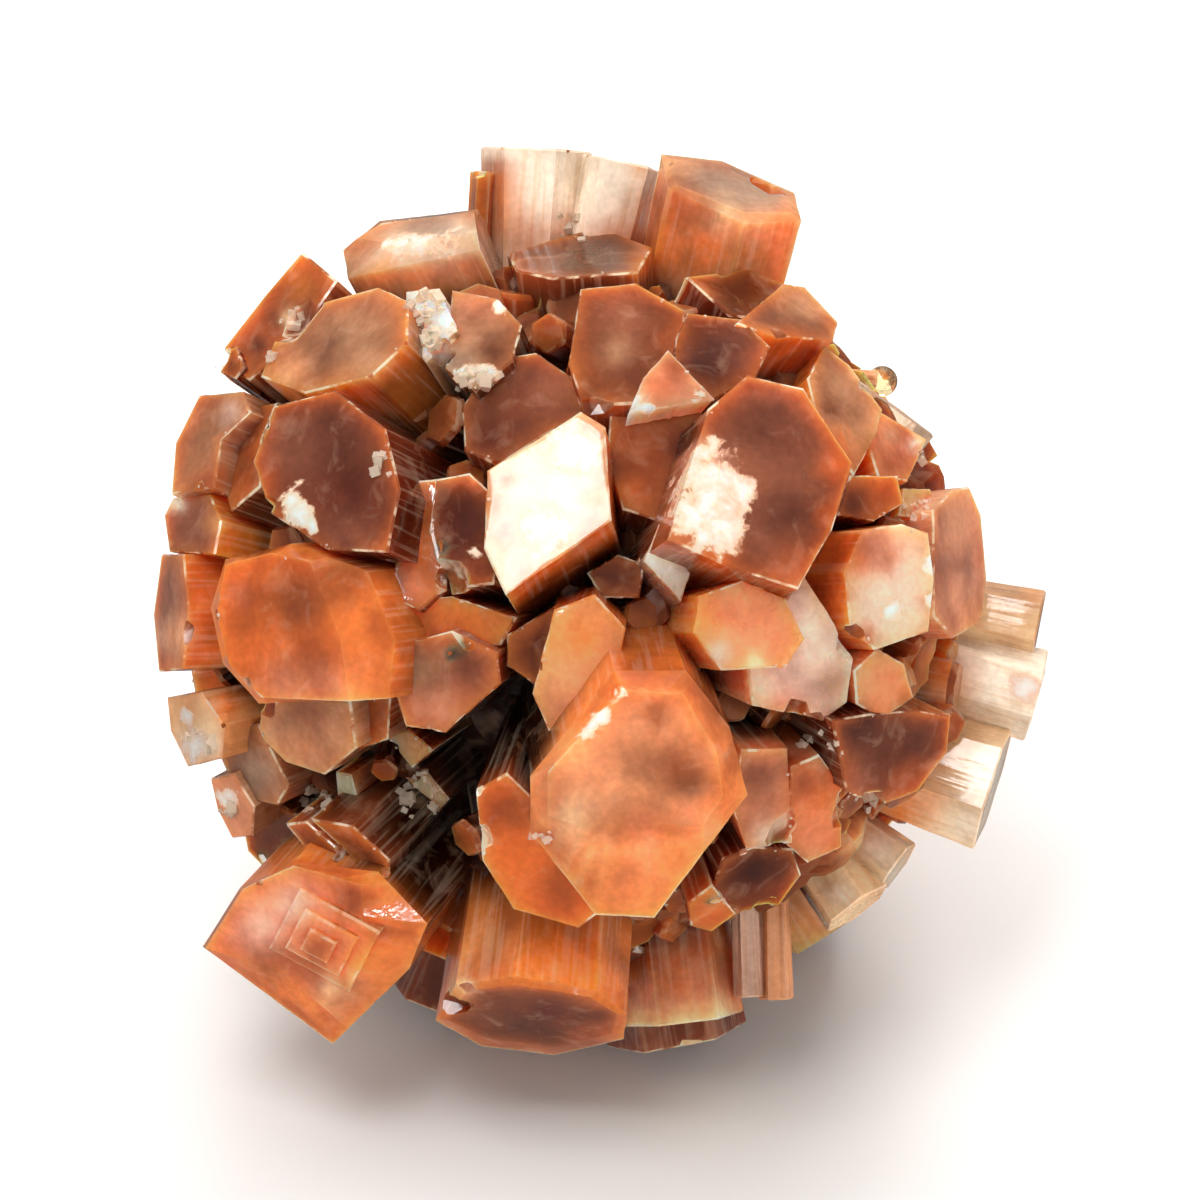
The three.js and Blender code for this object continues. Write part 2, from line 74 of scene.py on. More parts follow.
# %% The driving dimensions
MM = 0.001
SQUARE = 0.15  # side of a grid square
REST_HEIGHT = 22  # from the surface the cluster stands on up to its middle
SHOW_TILT = 35  # how far above the horizon the best side looks
MASS_RADIUS = 14.4  # the stained inner mass that the crystals grow out of
GAP_RADIUS = 17.6  # stubs too small to lay out one by one fill the gaps up to here
WIDENED = 1.04  # ends laid out one by one are this much wider, so that neighbours meet
ROOT_START = 2  # a crystal starts this far from the middle
ROOT_SHARE = 0.8  # its width there, as a share of its width at the end
BEVEL_FALL = 0.8  # how far the worn edge of an end runs down, as a share of how far it runs in
BEVEL_DRAWS = 3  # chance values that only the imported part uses, for its wider bevels
CORNER_UNEVEN = (0.93, 1.06)  # how far a six-sided end's corners stand in or out
CORNER_DEPTH = 1 / 1.8  # their place across its depth
GROWTH_SCATTER = 1  # crystals point away from places within this distance of the middle
BEAD_RADIUS = 0.8
BEAD_REACH = 18.6
BEAD_AT = (98, 76)
FLOOR_GAP = 0.4  # crystals that don't carry the cluster stay this far off the surface

# %% [markdown]
# ## The crystals whose ends are seen
#
# `ends` are the corners of a crystal's end, `face` those of its flat face where a broad slope of
# height `rise` runs around it, and `reach` its distance from the middle. `axis` is the way it
# points (right, up, towards) where that isn't straight out, and `length` how far it runs inwards
# where that isn't almost to the middle.

# %% The outline, clockwise from the top
OUTLINE_ENDS = [
    dict(name="shoulder", reach=23.5, axis=(0.2, 0.86, 0.47),
         ends=[(22, 153), (42, 151), (66, 140), (68, 130), (49, 129), (24, 141)],
         face=[(25, 151), (42, 149), (64, 138), (65, 133), (49, 133), (27, 142)], rise=0.3),
    dict(name="shoulder_dark", reach=20.4, ends=[(30, 110), (51, 113), (63, 108), (56, 96), (44, 97)]),
    dict(name="shoulder_small", reach=21,
         ends=[(63, 108), (70, 107), (81, 95), (79, 89), (58, 90), (47, 94)]),
    dict(name="amber_rim", reach=20.4,
         ends=[(77, 86), (85, 80), (96, 65), (94, 57), (86, 43), (74, 61), (71, 75)]),
    dict(name="pink_rim", reach=20, ends=[(96, 64), (112, 55), (105, 41), (95, 42), (91, 55)]),
    dict(name="cream_crumb", reach=19.9, ends=[(104, 38), (113, 38), (115, 33), (110, 28), (102, 29)]),
    dict(name="east_face", reach=20.4,
         ends=[(114, 30), (121, 37), (127, 38), (131, 29), (133, 7), (131, -7), (121, -12), (114, -5)]),
    dict(name="south_face", reach=24,
         ends=[(-55, -144), (-48, -131), (-28, -128), (-2, -133), (8, -141), (7, -150), (-16, -156),
               (-40, -153)],
         face=[(-52, -143), (-44, -133), (-28, -131), (-4, -135), (5, -141), (3, -148), (-16, -153),
               (-38, -150)], rise=0.3),
    dict(name="terraced", reach=25.3, axis=(-0.42, -0.5, 0.76),
         ends=[(-122, -99), (-104, -90), (-76, -93), (-60, -110), (-66, -125), (-92, -151), (-116, -133),
               (-135, -119)],
         face=[(-121, -99), (-104, -91), (-82, -97), (-80, -119), (-95, -138), (-111, -126),
               (-134, -119)], rise=1.2),
    dict(name="west_chip", reach=22.4, axis=(-0.75, -0.45, 0.45),
         ends=[(-134, -62), (-126, -60), (-119, -71), (-120, -81), (-127, -82), (-132, -72)]),
    dict(name="west_grey", reach=21.3, axis=(-0.7, -0.3, 0.6),
         ends=[(-130, -44), (-117, -43), (-107, -63), (-111, -70), (-122, -68), (-129, -57)]),
    dict(name="west_pale", reach=22.9, axis=(-0.85, -0.2, 0.45),
         ends=[(-149, -34), (-137, -32), (-129, -43), (-130, -54), (-142, -57), (-148, -45)]),
    dict(name="west_block", reach=23, axis=(-0.94, 0, 0.33),
         ends=[(-151, 15), (-143, 15), (-141, -3), (-143, -23), (-152, -24), (-154, -5)]),
    dict(name="west_stub", reach=22.6, axis=(-0.84, 0.2, 0.5),
         ends=[(-147, 35), (-134, 36), (-130, 27), (-132, 16), (-148, 17), (-150, 29)]),
    dict(name="west_smooth", reach=23, axis=(-0.78, 0.33, 0.53),
         ends=[(-138, 70), (-123, 71), (-120, 64), (-130, 55), (-132, 39), (-147, 37), (-146, 54)]),
    dict(name="rust_gap", reach=21.6,
         ends=[(-123, 65), (-111, 67), (-116, 55), (-116, 39), (-126, 31), (-130, 42), (-129, 55)]),
    dict(name="flake", reach=23, axis=(-0.62, 0.52, 0.58),
         ends=[(-103, 119), (-91, 109), (-100, 96), (-109, 86), (-120, 76), (-126, 79), (-129, 87),
               (-115, 105)]),
    dict(name="flake_hook", reach=23.7, axis=(-0.6, 0.45, 0.66), length=4,
         ends=[(-135, 84), (-125, 87), (-122, 80), (-125, 76), (-132, 79)]),
    dict(name="grey_rim", reach=21.9, axis=(-0.4, 0.8, 0.45),
         ends=[(-88, 121), (-76, 131), (-43, 134), (-42, 120), (-68, 115), (-86, 111)],
         face=[(-83, 125), (-75, 130), (-44, 133), (-43, 126), (-73, 123)], rise=0.7),
]
print(len(OUTLINE_ENDS), "crystal ends around the outline")

# %% The ring inside the outline, clockwise from the top
RING_ENDS = [
    dict(name="under_crown", reach=19.3,
         ends=[(-31, 119), (-13, 125), (5, 126), (17, 121), (12, 112), (-16, 110), (-28, 113)]),
    dict(name="brown_face", reach=21,
         ends=[(-6, 105), (12, 107), (28, 98), (27, 80), (14, 67), (-5, 66), (-10, 80)]),
    dict(name="dark_face", reach=21.4,
         ends=[(30, 97), (48, 95), (57, 86), (52, 75), (38, 68), (25, 76), (26, 88)]),
    dict(name="salmon_chip", reach=21.8, ends=[(23, 84), (38, 68), (28, 66), (10, 63), (15, 75)]),
    dict(name="amber_low", reach=20.8, ends=[(85, 42), (101, 42), (103, 33), (93, 27), (81, 29)]),
    dict(name="pink_face", reach=22.2,
         ends=[(89, 23), (102, 25), (111, 22), (113, 7), (111, -10), (93, -16), (85, -9), (83, 9)]),
    dict(name="salmon_bead", reach=22,
         ends=[(86, -24), (94, -17), (103, -22), (106, -33), (96, -40), (87, -35)]),
    dict(name="mauve_low", reach=21.9,
         ends=[(79, -41), (92, -39), (107, -38), (119, -40), (118, -52), (108, -65), (94, -70),
               (84, -64)]),
    dict(name="pink_column_1", reach=21, ends=[(48, -51), (63, -51), (65, -82), (50, -84), (45, -70)]),
    dict(name="pink_column_2", reach=21,
         ends=[(65, -57), (74, -53), (82, -64), (82, -84), (71, -89), (64, -83)]),
    dict(name="brown_low", reach=21,
         ends=[(42, -88), (52, -84), (65, -85), (68, -94), (61, -104), (48, -106), (38, -99)]),
    dict(name="salmon_low", reach=21.4, ends=[(30, -103), (38, -97), (46, -107), (38, -113), (31, -111)]),
    dict(name="orange_low", reach=23,
         ends=[(-41, -65), (-31, -59), (-22, -68), (-13, -81), (0, -104), (-8, -110), (-29, -104),
               (-39, -88)]),
    dict(name="sliver_1", reach=22, length=8,
         ends=[(-107, -77), (-100, -76), (-79, -94), (-82, -99), (-96, -90)]),
    dict(name="sliver_2", reach=22, length=8,
         ends=[(-98, -75), (-84, -77), (-72, -88), (-72, -95), (-79, -92)]),
    dict(name="west_rust", reach=21.2, axis=(-0.66, -0.5, 0.56),
         ends=[(-124, -75), (-114, -69), (-103, -75), (-101, -91), (-115, -94), (-122, -87)]),
    dict(name="splinter", reach=19.6, ends=[(-90, -59), (-85, -60), (-81, -75), (-89, -76)]),
    dict(name="pink_chip", reach=18.5, ends=[(-73, -46), (-65, -44), (-57, -51), (-64, -57)]),
    dict(name="spark_crumb", reach=17.4,
         ends=[(-74, -62), (-60, -58), (-52, -68), (-60, -78), (-73, -74)]),
    dict(name="grey_low", reach=21.4,
         ends=[(-115, -35), (-85, -34), (-83, -50), (-94, -59), (-107, -55), (-116, -46)]),
    dict(name="brown_under", reach=20.5, ends=[(-84, -34), (-71, -33), (-72, -47), (-83, -51)]),
    dict(name="orange_face", reach=24,
         ends=[(-126, 13), (-104, 18), (-79, 9), (-70, -13), (-72, -32), (-115, -34), (-127, -21),
               (-131, -3)],
         face=[(-126, 11), (-111, 15), (-98, 12), (-88, -13), (-85, -33), (-114, -32), (-125, -21),
               (-129, -5)], rise=1.1),
    dict(name="west_dark", reach=23,
         ends=[(-110, 65), (-90, 70), (-73, 57), (-68, 37), (-72, 17), (-92, 18), (-111, 30),
               (-117, 47)]),
    dict(name="oval_face", reach=22.6,
         ends=[(-96, 101), (-76, 106), (-66, 101), (-66, 87), (-78, 76), (-100, 71), (-115, 77),
               (-110, 91)]),
    dict(name="sparkling", reach=21.6, ends=[(-66, 105), (-55, 106), (-49, 92), (-59, 81), (-66, 89)]),
    dict(name="grey_face", reach=21.2,
         ends=[(-50, 105), (-35, 102), (-27, 93), (-30, 81), (-42, 71), (-52, 79), (-51, 91)]),
]
print(len(RING_ENDS), "crystal ends in the ring inside it")

# %% The middle
MIDDLE_ENDS = [
    dict(name="mauve_face", reach=20.6,
         ends=[(-36, 81), (-22, 83), (-10, 75), (-6, 63), (-19, 56), (-34, 46), (-45, 51), (-46, 65)]),
    dict(name="red_gap", reach=20.3, ends=[(4, 63), (34, 63), (30, 45), (20, 27), (8, 31), (3, 47)]),
    dict(name="great_mauve", reach=24,
         ends=[(37, 63), (50, 74), (68, 70), (84, 46), (77, 24), (66, 5), (46, 11), (24, 21)]),
    dict(name="mirror", reach=23.8, ends=[(-7, 62), (1, 57), (3, 27), (-31, 3), (-38, 18), (-37, 43)]),
    dict(name="red_block", reach=22,
         ends=[(-55, 40), (-44, 42), (-33, 32), (-36, 6), (-52, 4), (-57, 23)]),
    dict(name="red_side", reach=21.4, ends=[(-68, 39), (-54, 40), (-53, 4), (-61, -3), (-69, 1)]),
    dict(name="rhomb_chip", reach=21.8, ends=[(20, 25), (30, 9), (27, 0), (15, 13)]),
    dict(name="grey_gap", reach=20, ends=[(-4, 9), (6, 15), (15, 12), (13, 1), (1, 1)]),
    dict(name="salmon_face", reach=22.9,
         ends=[(34, 1), (48, 6), (62, 0), (68, -13), (62, -22), (41, -23), (32, -11)]),
    dict(name="pink_grey", reach=22,
         ends=[(68, 8), (76, -4), (85, -20), (83, -34), (75, -40), (52, -35), (50, -21)]),
    dict(name="orange_twin", reach=22.4,
         ends=[(-15, -4), (-2, 1), (8, -10), (6, -21), (-8, -41), (-16, -45), (-22, -31)]),
    dict(name="red_chip", reach=21.2, ends=[(-31, -12), (-16, -3), (-13, -15), (-22, -28), (-31, -22)]),
    dict(name="rust_chip", reach=21,
         ends=[(-66, -1), (-50, 1), (-29, -6), (-34, -15), (-52, -14), (-68, -11)]),
    dict(name="mauve_small", reach=21.8,
         ends=[(-66, -15), (-50, -11), (-35, -18), (-34, -28), (-52, -44), (-65, -42), (-69, -29)]),
    dict(name="king", reach=26,
         ends=[(5, -25), (28, -25), (42, -43), (48, -65), (18, -105), (-1, -104), (-22, -77), (-22, -59)],
         face=[(8, -31), (27, -32), (38, -51), (40, -65), (34, -74), (-6, -75), (-16, -71), (-16, -57)],
         rise=1.5),
]
print(len(MIDDLE_ENDS), "crystal ends in the middle")

# %% [markdown]
# Some crystals of the outline lie flat to the eye, so their side shows instead of their end.
# `at` is the middle of the end, `wide` its width across the view and `deep` along it.

# %% The crystals seen from their side
SIDES_SEEN = [
    dict(name="crown_left", at=(-40, 148), reach=23.1, wide=1.4, deep=3.4, axis=(0.06, 1, 0), turn=0),
    dict(name="crown_middle", at=(-22, 156), reach=23.7, wide=5.6, deep=5.8, axis=(0.05, 1, 0.02),
         turn=8),
    dict(name="crown_right", at=(8, 151), reach=22.8, wide=4.4, deep=5.4, axis=(0.22, 0.98, 0), turn=-6),
    dict(name="clear_rim", at=(100, 68), reach=18.5, wide=5.8, deep=1.8, axis=(0.59, 0.81, 0), turn=0),
    dict(name="bead_stalk", at=(96, 76), reach=18.4, wide=1, deep=1, axis=(1, -0.1, 0), turn=0, length=4),
    dict(name="east_stub", at=(152, -9), reach=22.9, wide=3.7, deep=4.4, axis=(0.97, -0.2, 0.05), turn=6),
    dict(name="pale_slab_1", at=(151, -33), reach=23.3, wide=4.8, deep=5.2, axis=(0.96, -0.26, 0),
         turn=0),
    dict(name="pale_slab_2", at=(136, -65), reach=22.8, wide=6.8, deep=5.6, axis=(0.95, -0.3, 0.1),
         turn=10),
    dict(name="pale_prism_1", at=(103, -93), reach=20.9, wide=3.3, deep=3.6, axis=(0.8, -0.58, 0.15),
         turn=12),
    dict(name="pale_prism_2", at=(89, -107), reach=21, wide=4.2, deep=4, axis=(0.58, -0.8, 0.2),
         turn=-14),
    dict(name="south_reed_1", at=(61, -138), reach=22.8, wide=1.8, deep=2.8, axis=(0.02, -1, 0), turn=0),
    dict(name="south_reed_2", at=(52, -137), reach=22.2, wide=1.8, deep=2.6, axis=(0.04, -1, 0), turn=0),
    dict(name="south_block", at=(29, -145), reach=22.3, wide=6.4, deep=6, axis=(0.12, -0.99, -0.04),
         turn=4),
]
print(len(SIDES_SEEN), "crystals seen from their side")

# %% The clear crystals, which are a mesh and a material of their own
CLEAR_ONES = {"crown_middle", "crown_right", "clear_rim", "bead_stalk", "east_stub", "pale_slab_1",
              "pale_slab_2", "pale_prism_1", "pale_prism_2", "south_reed_1", "south_reed_2",
              "west_pale", "west_chip"}
CLEAR_LENGTH = 9  # their roots end inside the stained mass

# %% [markdown]
# Underneath, one crystal stands flat on the surface and five around it touch it with a corner.
# `lean` is measured from straight down, `bearing` clockwise from the back.

# %% The crystals underneath
UNDERNEATH = [
    dict(name="foot", lean=0, bearing=0, reach=22.7, wide=9.2, deep=8.8, turn=10),
    dict(name="prop_back", lean=27, bearing=12, reach=23.2, wide=7.4, deep=7, turn=0),
    dict(name="prop_right", lean=28, bearing=84, reach=23.4, wide=7, deep=7.2, turn=0),
    dict(name="prop_front", lean=28, bearing=158, reach=23.4, wide=7.6, deep=7, turn=0),
    dict(name="prop_left", lean=27, bearing=232, reach=23.3, wide=7, deep=6.8, turn=0),
    dict(name="prop_far_left", lean=29, bearing=302, reach=23.5, wide=6.8, deep=7, turn=0),
]
print(len(UNDERNEATH), "crystals underneath")

# %% [markdown]
# The far side follows a rule instead: crystals of falling size are tried along a spiral over the
# ball, and one grows where it keeps its distance from the others. Only small ones fit in on the
# best side, apart from a few hollows that stay empty. `spread` is that distance, as a share of
# both sizes, and `least_reach` keeps little ones on the far side from sinking into the mass.

# %% The rule for the other crystals
FILLS = [
    dict(tries=300, wide=(7.6, 10), reach=(22.2, 24), spread=0.84),
    dict(tries=500, wide=(4.8, 6.6), reach=(21.2, 23.2), spread=0.8),
    dict(tries=640, wide=(3, 4.2), reach=(19.4, 21.6), spread=0.88),
    dict(tries=800, wide=(2.4, 3.2), reach=(17.4, 19.4), spread=1.05, best_side_too=True),
]
FINE_FILLS = [
    dict(tries=400, wide=(3.2, 4.8), reach=(18.4, 19.4), spread=0.8, least_reach=18.2),
    dict(tries=1800, wide=(1.9, 3.2), reach=(18, 20.2), spread=0.74, least_reach=18, best_side_too=True),
    dict(tries=1400, wide=(1, 1.7), reach=(17.4, 19.4), spread=0.8, least_reach=17.8, best_side_too=True),
]
LITTLE_SCATTER = 9  # the little crystals point less straight out
STANDING_OUT = 17.3  # and grow over those that end nearer the middle than this
GOLDEN_ANGLE = 137.508  # degrees from one place on the spiral to the next
SPIRAL_SCATTER = 8  # degrees that chance adds or takes away
DEPTH_SCATTER = (0.85, 1.15)  # a crystal's depth, as a share of its width
FIRST_FILLED = 200  # the crystals by rule draw their chance values from here on
BEST_SIDE_FROM = 0.05  # the best side starts where the way out turns this far towards the viewer
FAR_SIDE_FROM = -0.22  # and the far side ends here
UNDERSIDE_FROM = 0.2  # crystals that point down by more than this have to stay off the surface
CORNER_ALLOWANCE = 1.1  # how far the corners of an end reach, as a share of its size
LEAST_GROWTH = 1  # a crystal that would stand out of the mass by less isn't grown
MEAN_REACH = 21  # distances between crystals are measured this far from the middle
# places on the grid and their width in mm: hollows, which also get painted shade, the low mass behind the
# clear slabs, and gaps that get painted shade
HOLLOWS = [((-38, -48), 6.6), ((-60, -66), 5), ((-62, -92), 4.6), ((-46, 70), 1.6), ((-20, 88), 1.8),
           ((76, -118), 4)]
LOW_PLACES = [((140, -26), 7), ((134, -50), 6), ((122, -76), 7), ((104, -104), 7)]
SHADED_GAPS = [((-49, 64), 2.4), ((-18, 84), 2.6), ((-54, 85), 2), ((-130, -34), 3.4), ((6, 8), 2),
             ((32, 52), 1.6), ((-100, -62), 3), ((58, -42), 2.6), ((4, -126), 1.6), ((72, 64), 1.2)]
# how far out far crystals may stand, in squares, at even steps clockwise from the top
OUTLINE = [140, 142, 114, 106, 108, 106, 122, 138, 138, 116, 104, 130,
           134, 136, 132, 142, 140, 142, 144, 140, 130, 132, 136, 132]

# %% [markdown]
# ## Laying the crystals out
#
# Each crystal gets its chance values from a stream of its own, so one can be changed without
# moving the rest, and every run gives the same cluster.

# %% Repeatable chance and the best side's frame
MODULUS, FACTOR = 2147483647, 16807  # of the minimal standard generator
SEED_STEP, SEED_START = 7919, 104729  # they set seeds that are close together far apart
SKIPPED = 4  # first numbers, which are still alike from seed to seed
# each use of chance has seeds of its own
FILL_SEEDS, RING_SEEDS, LITTLE_SEEDS, CHIP_SEEDS = 1000, 5000, 6000, 7000
STEP_SEEDS, STAIN_SEEDS, DRUSE_SEEDS, CRUMB_SEEDS = 8000, 9000, 11000, 12000


def numbers_from(seed):
    """A stream of numbers from 0 to 1."""
    state = (seed * SEED_STEP + SEED_START) % MODULUS
    drawn = 0
    while True:
        state = state * FACTOR % MODULUS
        drawn += 1
        if drawn > SKIPPED:
            yield state / MODULUS


def between(stream, low, high):
    return low + (high - low) * next(stream)


def unit(vector):
    return np.asarray(vector, float) / np.linalg.norm(vector)


TILT = math.radians(90 - SHOW_TILT)
SHOW_FRAME = np.array([[1, 0, 0],
                       [0, math.cos(TILT), -math.sin(TILT)],
                       [0, math.sin(TILT), math.cos(TILT)]])


def point_at(place, reach):
    """The point seen at a place on the grid, at a distance out."""
    right, up = place[0] * SQUARE, place[1] * SQUARE
    return np.array([right, up, math.sqrt(max(reach**2 - right**2 - up**2, 0))])


def across(axis):
    """Two directions across an axis: around the cluster, and away from the line of sight."""
    around = unit(np.cross((0, 0, 1), axis))
    return around, np.cross(around, axis)


def seen_ring(corners, middle, axis):
    """Corners on the grid, carried along the line of sight onto the plane of the end."""
    corners = np.array(corners, float)
    corners = corners.mean(axis=0) + (corners - corners.mean(axis=0)) * WIDENED
    ring = np.column_stack([corners * SQUARE, np.full(len(corners), middle[2])])
    ring[:, 2] -= (ring[:, :2] - middle[:2]) @ axis[:2] / axis[2]
    return ring


def six_sided_ring(crystal, turn, middle, axis, stream):
    around, outwards = across(axis)
    ring = []
    for k in range(6):
        angle = math.radians(60 * k + turn)
        uneven = between(stream, *CORNER_UNEVEN)
        ring.append(middle + around * (math.cos(angle) * crystal["wide"] * uneven / 2)
                    + outwards * (math.sin(angle) * crystal["deep"] * uneven * CORNER_DEPTH))
    return np.array(ring)


print("the best side looks towards", SHOW_FRAME @ (0, 0, 1))

# %% Where each crystal ends, which way it points, and its end's corners
def lay_out(crystal, index):
    stream = numbers_from(index + 1)
    place = crystal.get("at")
    if place is None and "ends" in crystal:
        place = np.mean(crystal["ends"], axis=0)
    end = crystal["end"] if "end" in crystal else point_at(place, crystal["reach"])
    scatter = crystal.get("scatter", GROWTH_SCATTER)
    start = np.array([between(stream, -scatter, scatter) for _ in range(3)])
    axis = unit(crystal.get("axis", end - start))
    length = crystal.get("length", np.linalg.norm(end) - ROOT_START)
    for _ in range(BEVEL_DRAWS):
        next(stream)
    turn = crystal["turn"] if "turn" in crystal else between(stream, 0, 60)
    if "ends" in crystal:
        ring = seen_ring(crystal["ends"], end, axis)
    else:
        ring = six_sided_ring(crystal, turn, end, axis, stream)
    size = np.linalg.norm(ring - end, axis=1).mean()
    return dict(crystal, end=end, axis=axis, length=length, ring=ring, size=size, index=index)


def pointing_out(crystal):
    """A crystal underneath points straight out from the middle."""
    lean, bearing = math.radians(crystal["lean"]), math.radians(crystal["bearing"])
    way = SHOW_FRAME.T @ (math.sin(lean) * math.sin(bearing), math.sin(lean) * math.cos(bearing),
                          -math.cos(lean))
    return dict(crystal, axis=way, end=way * crystal["reach"])


def reach_in_outline(way, size):
    clockwise = (math.atan2(way[0], way[1]) / (2 * math.pi) + 1) * len(OUTLINE)
    step = math.floor(clockwise)
    before, after = OUTLINE[step % len(OUTLINE)], OUTLINE[(step + 1) % len(OUTLINE)]
    edge = SQUARE * (before + (after - before) * (clockwise - step))
    return (edge - size * abs(way[2])) / math.hypot(way[0], way[1])


def reach_above_floor(way, size):
    down = -(SHOW_FRAME @ way)[2]
    if down < UNDERSIDE_FROM:
        return math.inf
    lowest_corner = size * CORNER_ALLOWANCE * math.sqrt(1 - down**2)
    return (REST_HEIGHT - FLOOR_GAP - lowest_corner) / down


def fill_in(placed, fills, first_pass):
    """The crystals by rule, fitted in after those that are there already."""
    ways = [unit(crystal["end"]) for crystal in placed]
    sizes = [crystal["size"] for crystal in placed]
    ways += [unit(point_at(place, MEAN_REACH)) for place, _ in HOLLOWS]
    sizes += [wide / 2 for _, wide in HOLLOWS]
    grown = []
    for fill_pass, fill in enumerate(fills, start=first_pass):
        for i in range(fill["tries"]):
            stream = numbers_from(FILL_SEEDS * fill_pass + i)
            towards = 1 - 2 * (i + next(stream)) / fill["tries"]
            around = math.radians(GOLDEN_ANGLE * i + between(stream, -SPIRAL_SCATTER, SPIRAL_SCATTER))
            out = math.sqrt(1 - towards**2)
            way = np.array([out * math.sin(around), out * math.cos(around), towards])
            wide = between(stream, *fill["wide"])
            deep = wide * between(stream, *DEPTH_SCATTER)
            size = (wide + deep) / 4
            full_reach = between(stream, *fill["reach"])
            if towards > BEST_SIDE_FROM and not fill.get("best_side_too"):
                continue
            apart = np.arccos(np.clip(np.array(ways) @ way, -1, 1)) * MEAN_REACH
            if (apart < fill["spread"] * (size + np.array(sizes))).any():
                continue
            outermost = reach_in_outline(way, size)
            if towards < FAR_SIDE_FROM:
                outermost = max(outermost, fill.get("least_reach", 0))
            reach = min(full_reach, outermost, reach_above_floor(way, size))
            if reach < MASS_RADIUS + LEAST_GROWTH:
                continue
            ways.append(way)
            sizes.append(size)
            grown.append(dict(name=f"filled_{fill_pass}_{i}", end=way * reach, wide=wide, deep=deep))
    return grown


by_hand = OUTLINE_ENDS + RING_ENDS + MIDDLE_ENDS + SIDES_SEEN + [pointing_out(c) for c in UNDERNEATH]
crystals = [lay_out(crystal, i) for i, crystal in enumerate(by_hand)]
crystals += [lay_out(crystal, i + FIRST_FILLED) for i, crystal in enumerate(fill_in(crystals, FILLS, 1))]
named = {crystal["name"]: crystal for crystal in crystals}
for name in CLEAR_ONES:
    named[name]["length"] = min(named[name]["length"], CLEAR_LENGTH)
main_count = len(crystals)
standing_out = [crystal for crystal in crystals if np.linalg.norm(crystal["end"]) > STANDING_OUT]
little = fill_in(standing_out, FINE_FILLS, len(FILLS) + 1)
little = [dict(crystal, scatter=LITTLE_SCATTER) for crystal in little]
crystals += [lay_out(crystal, i + main_count + FIRST_FILLED) for i, crystal in enumerate(little)]
print(len(by_hand), "crystals by hand,", main_count - len(by_hand), "by rule,", len(little), "little")

# %% [markdown]
# ## One blank rod for every crystal
#
# A real crystal of this kind is a six-sided prism with a flat end and grooved sides. It could be
# a convex hull of its corners, but hulls have no grooves and no points inside a face to carry
# stains. So a circle is extruded ring by ring into a rod and closed at both ends, and each
# crystal is a copy of that rod with its rings pushed to where the crystal has its outline.

# %% The blank rod
AROUND = 36  # points around each ring
SIDE_RINGS = (1, 0.7, 0.46, 0.29, 0.17, 0.09, 0.035)  # how deep they lie, as shares of the length
END_RINGS = (0.96, 0.84, 0.66, 0.44, 0.2)  # rings inside the flat end, as shares of its width
SHOULDER = len(SIDE_RINGS)  # the ring where the sides stop
FLAT = SHOULDER + 1  # the ring where the flat end starts
RINGS = FLAT + 1 + len(END_RINGS)


def deselect():
    bpy.ops.object.select_all(action="DESELECT")


def made_active(thing):
    deselect()
    thing.select_set(True)
    bpy.context.view_layer.objects.active = thing
    return thing


def select_vertices(mesh, chosen):
    for vertex, on in zip(mesh.vertices, chosen):
        vertex.select = bool(on)


def coordinates(mesh):
    flat = np.empty(len(mesh.vertices) * 3)
    mesh.vertices.foreach_get("co", flat)
    return flat.reshape(-1, 3)


def new_shape(add_shape, **settings):
    """A fresh mesh object with its origin at the scene's."""
    deselect()
    add_shape(**settings)
    bpy.ops.object.transform_apply(location=True, rotation=True, scale=True)
    return bpy.context.object


def mark_faces(mesh, marks):
    mark = mesh.attributes.new("mark", "INT", "FACE")
    mark.data.foreach_set("value", np.broadcast_to(marks, len(mesh.polygons)).astype(np.int32))


def grown_copy(name, blank_mesh, points, marks):
    """A copy of a mesh with its points moved to places around the cluster's middle."""
    placed = points @ SHOW_FRAME.T + (0, 0, REST_HEIGHT)
    mesh = blank_mesh.copy()
    mesh.vertices.foreach_set("co", (placed * MM).ravel())
    mark_faces(mesh, marks)
    return bpy.data.objects.new(name, mesh)


blank = new_shape(bpy.ops.mesh.primitive_circle_add, vertices=AROUND, radius=1, fill_type="NOTHING")
blank.name = "blank_rod"
bpy.ops.object.mode_set(mode="EDIT")
for _ in range(RINGS):
    bpy.ops.mesh.extrude_region_move(TRANSFORM_OT_translate={"value": (0, 0, 1)})
bpy.ops.mesh.merge(type="CENTER")
bpy.ops.mesh.select_all(action="DESELECT")
bpy.ops.object.mode_set(mode="OBJECT")
select_vertices(blank.data, coordinates(blank.data)[:, 2] < 0.5)
bpy.ops.object.mode_set(mode="EDIT")
bpy.ops.mesh.extrude_region_move(TRANSFORM_OT_translate={"value": (0, 0, -1)})
bpy.ops.mesh.merge(type="CENTER")
bpy.ops.mesh.select_all(action="SELECT")
bpy.ops.mesh.normals_make_consistent(inside=False)
bpy.ops.object.mode_set(mode="OBJECT")

rod_points = coordinates(blank.data)
rod_ring = np.rint(rod_points[:, 2]).astype(int)
rod_turn = np.rint(np.arctan2(rod_points[:, 1], rod_points[:, 0]) / (2 * math.pi) * AROUND).astype(int)
lowest_ring = np.array([min(rod_ring[v] for v in face.vertices) for face in blank.data.polygons])
SIDE, BEVEL, END = 0, 1, 2
KINDS = 4  # a face is marked with its crystal's number times this, plus its kind
rod_parts = np.where(lowest_ring < SHOULDER, SIDE, np.where(lowest_ring == SHOULDER, BEVEL, END))
print("the blank has", len(rod_points), "points and", len(blank.data.polygons), "faces")

# %% [markdown]
# ## Shaping a crystal
#
# An outline is sampled evenly around its middle, with one sample moved onto each corner so that
# the edges stay crisp. The samples between the corners are set in or out a few hundredths of a
# millimetre, the same all along the crystal: those are the grooves that run down its sides.

